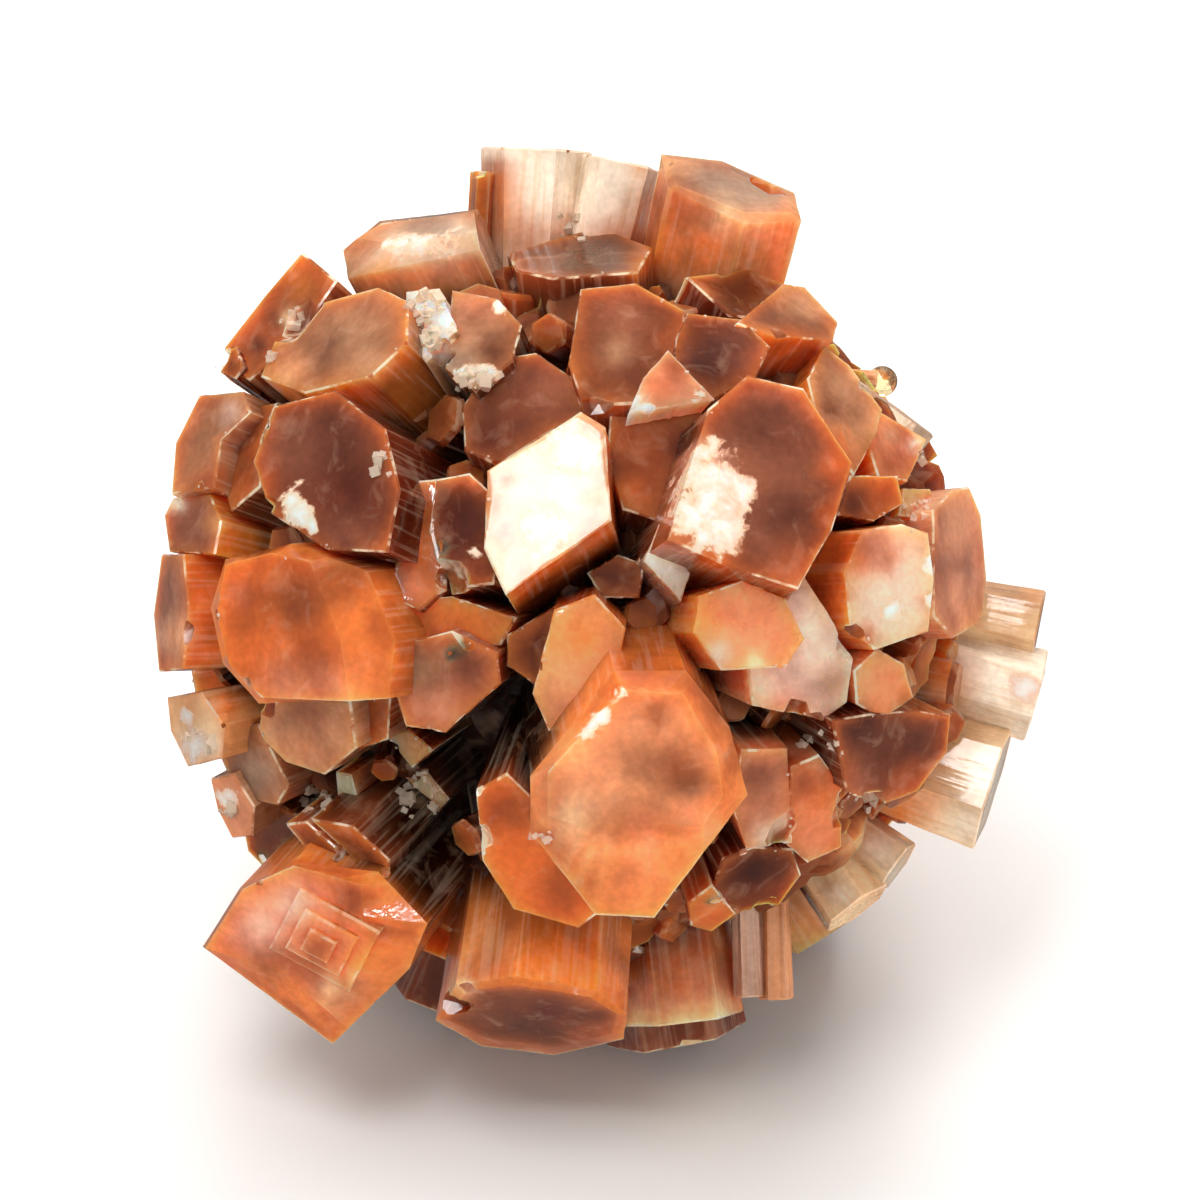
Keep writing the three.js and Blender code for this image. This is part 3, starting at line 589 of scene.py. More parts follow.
# %% From an outline to rings
FLUTE_DEPTH = 0.07  # grooves in the sides
FLUTE_RANGE = (-1, 0.5)  # how far in and out they go, as shares of that
GROWTH_STEP = 0.006  # how much wider or narrower the sides get from ring to ring, as a share
END_WAVE = 0.07  # how uneven an end is
WAVE_WIDTH = 2.6  # how wide its low swellings are
WAVE_SHIFT = 100  # takes each end to a place of its own in the noise
FINE_BEVEL = 0.12  # the worn edge of an end
PARALLEL, HAIR = 1e-12, 1e-6  # an edge that a line never meets, and how far it may miss a corner
TURNS = 2 * math.pi * np.arange(AROUND) / AROUND


def frame_of(crystal):
    around, outwards = across(crystal["axis"])
    return np.array([around, -outwards, crystal["axis"]])


def evenly_around(corners):
    """Points on an outline at even turns around its middle, and which of them are its corners."""
    middle = corners.mean(axis=0)
    start = corners - middle
    start = start[np.argsort(np.arctan2(start[:, 1], start[:, 0]))]
    edge = np.roll(start, -1, axis=0) - start
    points = np.empty((AROUND, 2))
    for k, turn in enumerate(TURNS):
        x, y = math.cos(turn), math.sin(turn)
        facing = x * edge[:, 1] - y * edge[:, 0]
        facing[facing == 0] = PARALLEL
        along = (y * start[:, 0] - x * start[:, 1]) / facing
        out = (start[:, 0] * edge[:, 1] - start[:, 1] * edge[:, 0]) / facing
        out = out[(along > -HAIR) & (along < 1 + HAIR) & (out > 0)].min()
        points[k] = (x * out, y * out)
    nearest = np.rint(np.arctan2(start[:, 1], start[:, 0]) / (2 * math.pi) * AROUND).astype(int) % AROUND
    points[nearest] = start
    is_corner = np.isin(np.arange(AROUND), nearest)
    return points, middle, is_corner


def rings_of(crystal):
    """The rings of a crystal from its root to its end, in its own frame, and its flat outline."""
    end, axis, size = crystal["end"], crystal["axis"], crystal["size"]
    own = frame_of(crystal)
    stream = numbers_from(RING_SEEDS + crystal["index"])
    flat_ends = (crystal["ring"] - end) @ own[:2].T
    outline, middle, is_corner = evenly_around(flat_ends)
    root = (outline + middle) * ROOT_SHARE
    if "face" in crystal:
        fall = crystal["rise"]
        lower = (seen_ring(crystal["ends"], end - axis * fall, axis) - end) @ own[:2].T
        outline, middle, is_corner = evenly_around(lower)
        upper = (seen_ring(crystal["face"], end, axis) - end) @ own[:2].T
        flat, flat_middle, _ = evenly_around(upper)
    else:
        fall = FINE_BEVEL * BEVEL_FALL
        flat = outline * (1 - FINE_BEVEL / size)
        flat_middle = middle
    shoulder = outline + middle

    flutes = np.array([between(stream, *FLUTE_RANGE) for _ in range(AROUND)]) * FLUTE_DEPTH
    flutes[is_corner] = 0
    flutes /= np.linalg.norm(outline, axis=1)
    rings = []
    for share in SIDE_RINGS:
        step = 1 + between(stream, -GROWTH_STEP, GROWTH_STEP)
        ring = shoulder + (root - shoulder) * share
        ring = ring + (ring - ring.mean(axis=0)) * (flutes[:, None] + step - 1)
        depth = fall + (crystal["length"] - fall) * share
        rings.append(np.column_stack([ring, np.full(AROUND, -depth)]))
    shoulder = shoulder + outline * flutes[:, None] / 2
    rings.append(np.column_stack([shoulder, np.full(AROUND, -fall)]))
    rings.append(np.column_stack([flat + flat_middle, np.zeros(AROUND)]))
    shift = WAVE_SHIFT * next(stream)
    wave = min(END_WAVE, size * END_WAVE / 2)
    for share in END_RINGS:
        ring = flat * share + flat_middle
        rise = [noise.noise((x / WAVE_WIDTH, y / WAVE_WIDTH, shift)) * wave for x, y in ring]
        rings.append(np.column_stack([ring, rise]))
    return np.array(rings), flat, flat_middle


def shape_crystal(number, crystal):
    """A copy of the blank with its rings pushed into place, marked with its number."""
    rings, flat, flat_middle = rings_of(crystal)
    crystal["flat_middle"] = flat_middle
    crystal["flat_radii"] = np.linalg.norm(flat, axis=1)
    points = rings[np.clip(rod_ring, 0, RINGS - 1), rod_turn % AROUND]
    points[rod_ring == RINGS] = rings[-1].mean(axis=0)
    points[rod_ring == -1] = rings[0].mean(axis=0)
    crystal["rim"] = crystal["end"] + rings[FLAT] @ frame_of(crystal)
    points = crystal["end"] + points @ frame_of(crystal)
    return grown_copy(crystal["name"], blank.data, points, number * KINDS + rod_parts)


def new_collection(name):
    collection = bpy.data.collections.new(name)
    bpy.context.scene.collection.children.link(collection)
    return collection


growing, growing_clear = new_collection("growing"), new_collection("growing_clear")
for number, crystal in enumerate(crystals[:main_count]):
    kind = growing_clear if crystal["name"] in CLEAR_ONES else growing
    kind.objects.link(shape_crystal(number, crystal))

# %% Growth steps on the ends
STEP_SIZES = (0.45, 0.8)  # of the end's width
STEP_RISES = (0.07, 0.2)
STEPPED_SHARE = 0.55  # of the crystals that are wide enough
SMALLEST_STEPPED = 1.9
# right, up, width and depth in squares, and how far each rises above the end
TERRACES = [(-94, -116, 30, 23, 0.25), (-95, -117, 20, 15, 0.5), (-96, -118, 10, 8, 0.75)]
TERRACE_TURN = -28


def stepped(crystal, share, rise, shift):
    """A narrower copy of a crystal that stands a little taller, which leaves a step around it."""
    end = crystal["end"] + crystal["axis"] * rise
    ring = end + shift + (crystal["ring"] - crystal["end"]) * share
    return dict(crystal, end=end, ring=ring, size=crystal["size"] * share)


def terrace(crystal, right, up, wide, deep, rise):
    """A crystal of rectangular outline inside another, laid out on the best side's grid."""
    turn = math.radians(TERRACE_TURN)
    along = np.array([math.cos(turn), math.sin(turn)])
    over = np.array([-math.sin(turn), math.cos(turn)])
    corners = [(right, up) + along * wide / 2 * x + over * deep / 2 * y
               for x, y in ((-1, 1), (1, 1), (1, -1), (-1, -1))]
    end = crystal["end"] + crystal["axis"] * rise
    plain = {key: value for key, value in crystal.items() if key not in ("face", "rise")}
    ring = seen_ring(corners, end, crystal["axis"])
    return dict(plain, end=end, ring=ring, size=(wide + deep) / 4 * SQUARE)


for number, crystal in enumerate(crystals[:main_count]):
    stream = numbers_from(STEP_SEEDS + crystal["index"])
    drawn = next(stream)
    if drawn > STEPPED_SHARE or crystal["size"] < SMALLEST_STEPPED or number < len(by_hand):
        continue
    share, rise = between(stream, *STEP_SIZES), between(stream, *STEP_RISES)
    room = crystal["size"] * (1 - share) / 2
    shift = [between(stream, -room, room), between(stream, -room, room), 0] @ frame_of(crystal)
    growing.objects.link(shape_crystal(number, stepped(crystal, share, rise, shift)))
number = crystals.index(named["terraced"])
for place in TERRACES:
    growing.objects.link(shape_crystal(number, terrace(named["terraced"], *place)))
bpy.data.objects.remove(blank)

# %% [markdown]
# The gaps between the large crystals hold hundreds of little ones. They are too small for
# grooves, so each is a copy of one six-sided prism with a bevelled end, stretched to its size.

# %% The little crystals
PRISM_BEVEL = 0.12
END_TILT = 0.25  # how much a little end may lean, as a share of its width
LITTLE_ROOT, LITTLE_GROWTH = 3, 2  # its length is the root plus so many times its size
FLAT_FROM, SLOPED_FROM = 0.9, 0.1  # how far up a face of the end or of the bevel looks at least

prism = new_shape(bpy.ops.mesh.primitive_cylinder_add, vertices=6, radius=1, depth=1,
                  end_fill_type="NGON", location=(0, 0, -0.5))
select_vertices(prism.data, coordinates(prism.data)[:, 2] > -0.1)
bpy.ops.object.mode_set(mode="EDIT")
bpy.ops.mesh.bevel(offset=PRISM_BEVEL, segments=1, affect="EDGES")
bpy.ops.object.mode_set(mode="OBJECT")
prism_points = coordinates(prism.data)
looks_up = np.array([face.normal.z for face in prism.data.polygons])
prism_parts = np.where(looks_up > FLAT_FROM, END, np.where(looks_up > SLOPED_FROM, BEVEL, SIDE))

for number, crystal in enumerate(crystals[main_count:], start=main_count):
    stream = numbers_from(LITTLE_SEEDS + crystal["index"])
    length = crystal["size"] * LITTLE_GROWTH + LITTLE_ROOT
    points = prism_points * (crystal["wide"] / 2, crystal["deep"] / 2, 1)
    lean = [between(stream, -END_TILT, END_TILT) for _ in range(2)]
    tip = points[:, 2] > -0.5
    points[:, 2] = np.where(tip, points[:, 2] * crystal["wide"] + points[:, :2] @ lean, -length)
    crystal["flat_middle"] = np.zeros(2)
    crystal["flat_radii"] = np.full(AROUND, crystal["wide"] / 2)
    points = crystal["end"] + points @ frame_of(crystal)
    marks = number * KINDS + prism_parts
    growing.objects.link(grown_copy(crystal["name"], prism.data, points, marks))
bpy.data.objects.remove(prism)
print("and", len(crystals) - main_count, "little ones")

# %% [markdown]
# Real crystals are brittle, and no end has all its edges. Small many-sided lumps are placed on
# the edges, and a Boolean cuts them away, which leaves the flat-sided chips of a fresh break.

# %% Lumps where the edges are chipped
CHIP_RADII = (0.25, 1.7)
CHIP_SKEW = 2.5  # the higher, the fewer are large
CHIPS_MOST = 6  # on one crystal
CHIPS_BY_SIZE = 1.6  # and at most so many times its size
FULL_CHIPS_FROM = 2.5  # crystals below this size have smaller chips
CHIP_OUT, CHIP_UP = (0.2, 0.7), (0.2, 0.6)  # how far off the edge, as shares of the radius
CHIP_STRETCH = (0.6, 1.5)
UNCHIPPED = {"mirror", "red_block", "great_mauve", "king"}
CHIP_MARK = -4

chips = new_collection("chips")
lump = new_shape(bpy.ops.mesh.primitive_ico_sphere_add, subdivisions=1, radius=1)
lump_points = coordinates(lump.data)
for crystal in crystals[:main_count]:
    stream = numbers_from(CHIP_SEEDS + crystal["index"])
    most = 0 if crystal["name"] in UNCHIPPED else min(CHIPS_MOST, crystal["size"] * CHIPS_BY_SIZE)
    for _ in range(int(between(stream, 0, most))):
        corner = crystal["rim"][int(next(stream) * AROUND)]
        radius = CHIP_RADII[0] + (CHIP_RADII[1] - CHIP_RADII[0]) * next(stream) ** CHIP_SKEW
        radius *= min(1, crystal["size"] / FULL_CHIPS_FROM)
        off = unit(corner - crystal["end"]) * between(stream, *CHIP_OUT)
        off += crystal["axis"] * between(stream, *CHIP_UP)
        stretch = [between(stream, *CHIP_STRETCH) for _ in range(3)]
        turned = Matrix.Rotation(2 * math.pi * next(stream), 3, Vector([next(stream) for _ in range(3)]))
        points = (lump_points * stretch) @ np.array(turned).T * radius
        points = corner + off * radius + points
        chips.objects.link(grown_copy("chip", lump.data, points, CHIP_MARK))
bpy.data.objects.remove(lump)

# %% [markdown]
# ## The stained mass, and one solid
#
# The crystals share an iron-stained middle. An icosphere is pushed out into flat-topped stubs,
# each the patch of points nearest to one cell of a Voronoi pattern, with coarse lumps under them
# and nothing in the hollows. Everything is joined by one Boolean modifier.
# Grown-together crystals have no seams inside, so light that enters one can pass into the next.

# %% The lumpy middle
LUMP_HEIGHT, LUMP_WIDTH = 0.5, 4
STUB_HEIGHT, STUB_WIDTH, STUB_GROOVE = 1.5, 2.1, 0.25
STUB_SPREAD = 9  # takes neighbouring stubs to unlike heights
GROOVE_SHARPNESS = 5
HOLLOW_FLOOR = 0.6  # how far the floor of a hollow reaches, as a share of its width
MASS_MARK, TRIM_MARK, BEAD_MARK = -1, -2, -3

centre = Vector((0, 0, REST_HEIGHT * MM))
cluster = new_shape(bpy.ops.mesh.primitive_ico_sphere_add, subdivisions=6, radius=MASS_RADIUS * MM,
                    location=centre)
cluster.name = "grown_cluster"
hollow_ways = [(Vector(SHOW_FRAME @ unit(point_at(place, MEAN_REACH))), wide)
               for place, wide in HOLLOWS + LOW_PLACES]
for vertex in cluster.data.vertices:
    way = (vertex.co - centre).normalized()
    filled = GAP_RADIUS - MASS_RADIUS
    for hollow_way, wide in hollow_ways:
        if way.angle(hollow_way) * MEAN_REACH < wide * HOLLOW_FLOOR:
            filled = 0
    spot = way * GAP_RADIUS
    apart, cells = noise.voronoi(spot / STUB_WIDTH)
    stub = noise.cell(cells[0] * STUB_SPREAD) * STUB_HEIGHT * (filled > 0)
    groove = STUB_GROOVE * max(0, 1 - (apart[1] - apart[0]) * GROOVE_SHARPNESS)
    lumps = noise.noise(spot / LUMP_WIDTH) * LUMP_HEIGHT
    vertex.co = centre + way * (MASS_RADIUS + filled + lumps + stub - groove) * MM
mark_faces(cluster.data, MASS_MARK)
print("the middle has", len(cluster.data.polygons), "faces")

# %% The round bead and the block that trims the underside level
TRIM_SIDE = 0.12
bead_place = (SHOW_FRAME @ point_at(BEAD_AT, BEAD_REACH) + (0, 0, REST_HEIGHT)) * MM
bead = new_shape(bpy.ops.mesh.primitive_uv_sphere_add, segments=24, ring_count=14,
                 radius=BEAD_RADIUS * MM, location=bead_place)
mark_faces(bead.data, BEAD_MARK)
trim = new_shape(bpy.ops.mesh.primitive_cube_add, size=TRIM_SIDE, location=(0, 0, -TRIM_SIDE / 2))
mark_faces(trim.data, TRIM_MARK)
print("bead at", [round(value, 4) for value in bead_place])

# %% Join everything into two solids
SMOOTH_BELOW = 20  # degrees between faces that shade as one


def join(base, collection):
    """A mesh with a collection joined to it, and the chips and the trim taken away."""
    made_active(base)
    steps = (("join", "UNION", collection), ("chip", "DIFFERENCE", chips), ("level", "DIFFERENCE", trim))
    for name, operation, things in steps:
        modifier = base.modifiers.new(name, "BOOLEAN")
        modifier.operation = operation
        modifier.solver = "MANIFOLD"
        if things == trim:
            modifier.object = trim
        else:
            modifier.operand_type = "COLLECTION"
            modifier.collection = things
        bpy.ops.object.modifier_apply(modifier=name)
    bpy.ops.object.shade_smooth_by_angle(angle=math.radians(SMOOTH_BELOW))
    print(base.name, "has", len(base.data.polygons), "faces")


bead.name = "clear_crystals"
join(cluster, growing)
join(bead, growing_clear)
clear_crystals = bead
for collection in (growing, growing_clear, chips):
    for thing in list(collection.objects):
        bpy.data.objects.remove(thing)
    bpy.data.collections.remove(collection)
bpy.data.objects.remove(trim)

# %% [markdown]
# ## Druse
#
# Tiny clear crystals crust a few patches and sit as crumbs on worn edges, where they glint.
# Each is a cube, stretched, turned and half sunk. On the patches a ray finds the surface.

# %% Grains
GRAIN_SIZES = (0.15, 0.55)
GRAIN_SUNK = 0.3  # of its size
CRUMB_SIZES = (0.06, 0.16)
CRUMBS_MOST = 4  # on one crystal
CRUMB_PLACE = 0.97  # how far out on its end, where its edge is 1
GRAIN_STRETCH = (0.6, 1.3)
RAY_START = 40  # in front of everything
# right, up, width and number of grains
DRUSES = [(-60, 99, 6, 26), (-56, 88, 4, 12), (-46, 75, 4, 10), (-38, 76, 4, 8), (-73, 45, 4, 10),
          (-97, -68, 5, 22), (-62, -66, 8, 22), (-106, 97, 4, 6), (-114, 84, 3, 5), (74, -48, 6, 8),
          (-20, -79, 4, 6), (108, 32, 5, 12), (-136, -48, 6, 8), (110, 50, 3, 4), (-8, 130, 7, 6),
          (92, -70, 5, 4), (-128, -70, 5, 5)]



def search_tree(mesh):
    faces = [face.vertices for face in mesh.polygons]
    return BVHTree.FromPolygons([vertex.co for vertex in mesh.vertices], faces)


surface = [search_tree(thing.data) for thing in (cluster, clear_crystals)]


def surface_at(right, up):
    """The nearest surface that shows at a place on the grid, in metres."""
    start = centre + Vector(SHOW_FRAME @ (right * SQUARE, up * SQUARE, RAY_START)) * MM
    away = Vector(SHOW_FRAME @ (0, 0, -1))
    hits = [tree.ray_cast(start, away) for tree in surface]
    return min((hit for hit in hits if hit[0]), key=lambda hit: hit[3], default=None)


grain = new_shape(bpy.ops.mesh.primitive_cube_add, size=1)
grain_points = coordinates(grain.data)
grains = []


def add_grain(place, stream, sizes):
    size = between(stream, *sizes) * MM
    stretch = [between(stream, *GRAIN_STRETCH) for _ in range(3)]
    angle = 2 * math.pi * next(stream)
    turned = Matrix.Rotation(angle, 3, Vector([next(stream) - 0.5 for _ in range(3)]))
    points = (grain_points * stretch) @ np.array(turned).T * size + place
    mesh = grain.data.copy()
    mesh.vertices.foreach_set("co", points.ravel())
    thing = bpy.data.objects.new("grain", mesh)
    bpy.context.scene.collection.objects.link(thing)
    grains.append(thing)


for number, (right, up, wide, count) in enumerate(DRUSES):
    stream = numbers_from(DRUSE_SEEDS + number)
    for _ in range(count):
        turn, out = 2 * math.pi * next(stream), wide * math.sqrt(next(stream))
        hit = surface_at(right + math.sin(turn) * out, up + math.cos(turn) * out)
        if hit:
            add_grain(np.array(hit[0] - hit[1] * GRAIN_SUNK * GRAIN_SIZES[0] * MM), stream, GRAIN_SIZES)
for crystal in crystals[:main_count]:
    stream = numbers_from(CRUMB_SEEDS + crystal["index"])
    for _ in range(int(between(stream, 0, CRUMBS_MOST))):
        corner = crystal["rim"][int(next(stream) * AROUND)]
        place = crystal["end"] + (corner - crystal["end"]) * CRUMB_PLACE
        place = SHOW_FRAME @ place + (0, 0, REST_HEIGHT)
        if place[2] > FLOOR_GAP * 2:
            add_grain(place * MM, stream, CRUMB_SIZES)
bpy.data.objects.remove(grain)
deselect()
for thing in grains:
    thing.select_set(True)
bpy.context.view_layer.objects.active = druse = grains[0]
bpy.ops.object.join()
druse.name = "druse"
print("druse of", len(grains), "grains")

# %% [markdown]
# ## Staining, and painted light
#
# Iron colours these crystals from the root outwards, maroon and then orange. Painted shade turns
# the gaps nearly black, a painted glow makes the rims paler where the crystal is thin and light
# leaks out, and white patches are painted highlights. Each seen crystal has its own pair of
# stains, for the end and for the sides just below it. They are stored on the mesh as colours.

# %% The stains
STAIN = {
    "white": "#fff2de", "cream": "#ffdcae", "gold": "#e6a064", "amber": "#cc7830", "orange": "#da7030",
    "bright_orange": "#f28a40", "peach": "#f4aa78", "salmon": "#f08c60", "pink": "#dc9470",
    "pale_pink": "#f4ccb6", "tan": "#bc8c68", "umber": "#9c6848", "coral": "#ffa070", "grey": "#a88a74",
    "ash": "#c8b4a4", "mauve": "#945840", "plum": "#6c3826", "maroon": "#5c200e", "rust": "#a05028",
    "brown": "#783e22", "dark_rust": "#481a0a", "soot": "#1a0a05",
}


def linear(hex_colour):
    channels = [int(hex_colour[i:i + 2], 16) / 255 for i in (1, 3, 5)]
    return [c / 12.92 if c <= 0.04045 else ((c + 0.055) / 1.055) ** 2.4 for c in channels]


tone = {name: np.array(linear(colour)) for name, colour in STAIN.items()}

# the stains of the end and of the sides, and how clear the crystal is; the white and cream ends of
# splinter, spark_crumb, sparkling and rhomb_chip are painted light, paler than their own colour so that
# they shine out of the shade
STAINED = {
    "shoulder": ("grey", "peach", 0.3), "shoulder_dark": ("maroon", "maroon", 0.2),
    "shoulder_small": ("umber", "orange", 0.3), "amber_rim": ("tan", "amber", 0.3),
    "pink_rim": ("salmon", "orange", 0.3), "cream_crumb": ("peach", "orange", 0.2),
    "east_face": ("pink", "pink", 0.3), "south_face": ("brown", "bright_orange", 0.3),
    "terraced": ("salmon", "bright_orange", 0.3), "west_chip": ("pink", "tan", 0.15),
    "west_grey": ("umber", "umber", 0.3), "west_pale": ("cream", "gold", 0.4),
    "west_block": ("umber", "orange", 0.3), "west_stub": ("mauve", "amber", 0.3),
    "west_smooth": ("umber", "umber", 0.3), "rust_gap": ("rust", "dark_rust", 0.2),
    "flake": ("rust", "brown", 0.2), "flake_hook": ("dark_rust", "dark_rust", 0.1),
    "grey_rim": ("tan", "umber", 0.4), "under_crown": ("maroon", "brown", 0.2),
    "brown_face": ("brown", "rust", 0.25), "dark_face": ("maroon", "maroon", 0.2),
    "salmon_chip": ("pink", "pale_pink", 0.3), "amber_low": ("rust", "brown", 0.3),
    "pink_face": ("pale_pink", "bright_orange", 0.2), "salmon_bead": ("coral", "rust", 0.2),
    "mauve_low": ("plum", "maroon", 0.25), "pink_column_1": ("pink", "salmon", 0.3),
    "pink_column_2": ("salmon", "rust", 0.3), "brown_low": ("maroon", "maroon", 0.2),
    "salmon_low": ("orange", "rust", 0.3), "orange_low": ("orange", "rust", 0.3),
    "sliver_1": ("brown", "rust", 0.3), "sliver_2": ("brown", "brown", 0.3),
    "west_rust": ("brown", "dark_rust", 0.2), "splinter": ("white", "orange", 0.1),
    "pink_chip": ("peach", "rust", 0.1), "spark_crumb": ("cream", "brown", 0.1),
    "grey_low": ("tan", "tan", 0.3), "brown_under": ("rust", "rust", 0.2),
    "orange_face": ("orange", "bright_orange", 0.35), "west_dark": ("plum", "maroon", 0.25),
    "oval_face": ("umber", "amber", 0.3), "sparkling": ("white", "tan", 0.3),
    "grey_face": ("tan", "brown", 0.3), "mauve_face": ("plum", "plum", 0.25),
    "red_gap": ("rust", "maroon", 0.2), "great_mauve": ("mauve", "rust", 0.3),
    "mirror": ("pale_pink", "orange", 0.3), "red_block": ("maroon", "maroon", 0.2),
    "red_side": ("rust", "maroon", 0.2), "rhomb_chip": ("white", "pink", 0.1),
    "grey_gap": ("plum", "dark_rust", 0.2), "salmon_face": ("coral", "bright_orange", 0.1),
    "pink_grey": ("pale_pink", "pink", 0.1), "orange_twin": ("peach", "orange", 0.35),
    "red_chip": ("dark_rust", "maroon", 0.2), "rust_chip": ("orange", "rust", 0.3),
    "mauve_small": ("mauve", "rust", 0.3), "king": ("peach", "bright_orange", 0.35),
    "crown_left": ("brown", "amber", 0.2), "crown_middle": ("white", "white", 0.15),
    "crown_right": ("white", "white", 0.15), "clear_rim": ("white", "white", 0.6),
    "bead_stalk": ("cream", "peach", 0.2), "east_stub": ("tan", "cream", 0.4),
    "pale_slab_1": ("white", "white", 0.15), "pale_slab_2": ("white", "cream", 0.15),
    "pale_prism_1": ("cream", "cream", 0.2), "pale_prism_2": ("cream", "cream", 0.1),
    "south_reed_1": ("cream", "peach", 0.3), "south_reed_2": ("cream", "pale_pink", 0.3),
    "south_block": ("cream", "orange", 0.4),
}
OTHER_ENDS = ("mauve", "tan", "salmon", "orange", "pink", "plum", "peach", "brown", "pale_pink", "grey")
OTHER_SIDES = ("orange", "rust", "amber", "salmon", "brown", "gold")
LITTLE_ENDS = ("rust", "brown", "umber", "brown", "plum", "maroon")
LITTLE_SIDES = ("rust", "brown", "maroon")
LITTLE_SIZES = (1.1, 1.7)  # smaller ones are little, on the far side and on the best side
OTHER_CLEARNESS = (0.2, 0.45)


def stains_of(crystal):
    if crystal["name"] in STAINED:
        return STAINED[crystal["name"]]
    stream = numbers_from(STAIN_SEEDS + crystal["index"])
    little_one = crystal["size"] < LITTLE_SIZES[int(crystal["end"][2] > 0)]
    ends, sides = (LITTLE_ENDS, LITTLE_SIDES) if little_one else (OTHER_ENDS, OTHER_SIDES)
    end, side = ends[int(next(stream) * len(ends))], sides[int(next(stream) * len(sides))]
    return end, side, between(stream, *OTHER_CLEARNESS)


print(len(STAINED), "crystals have stains of their own")
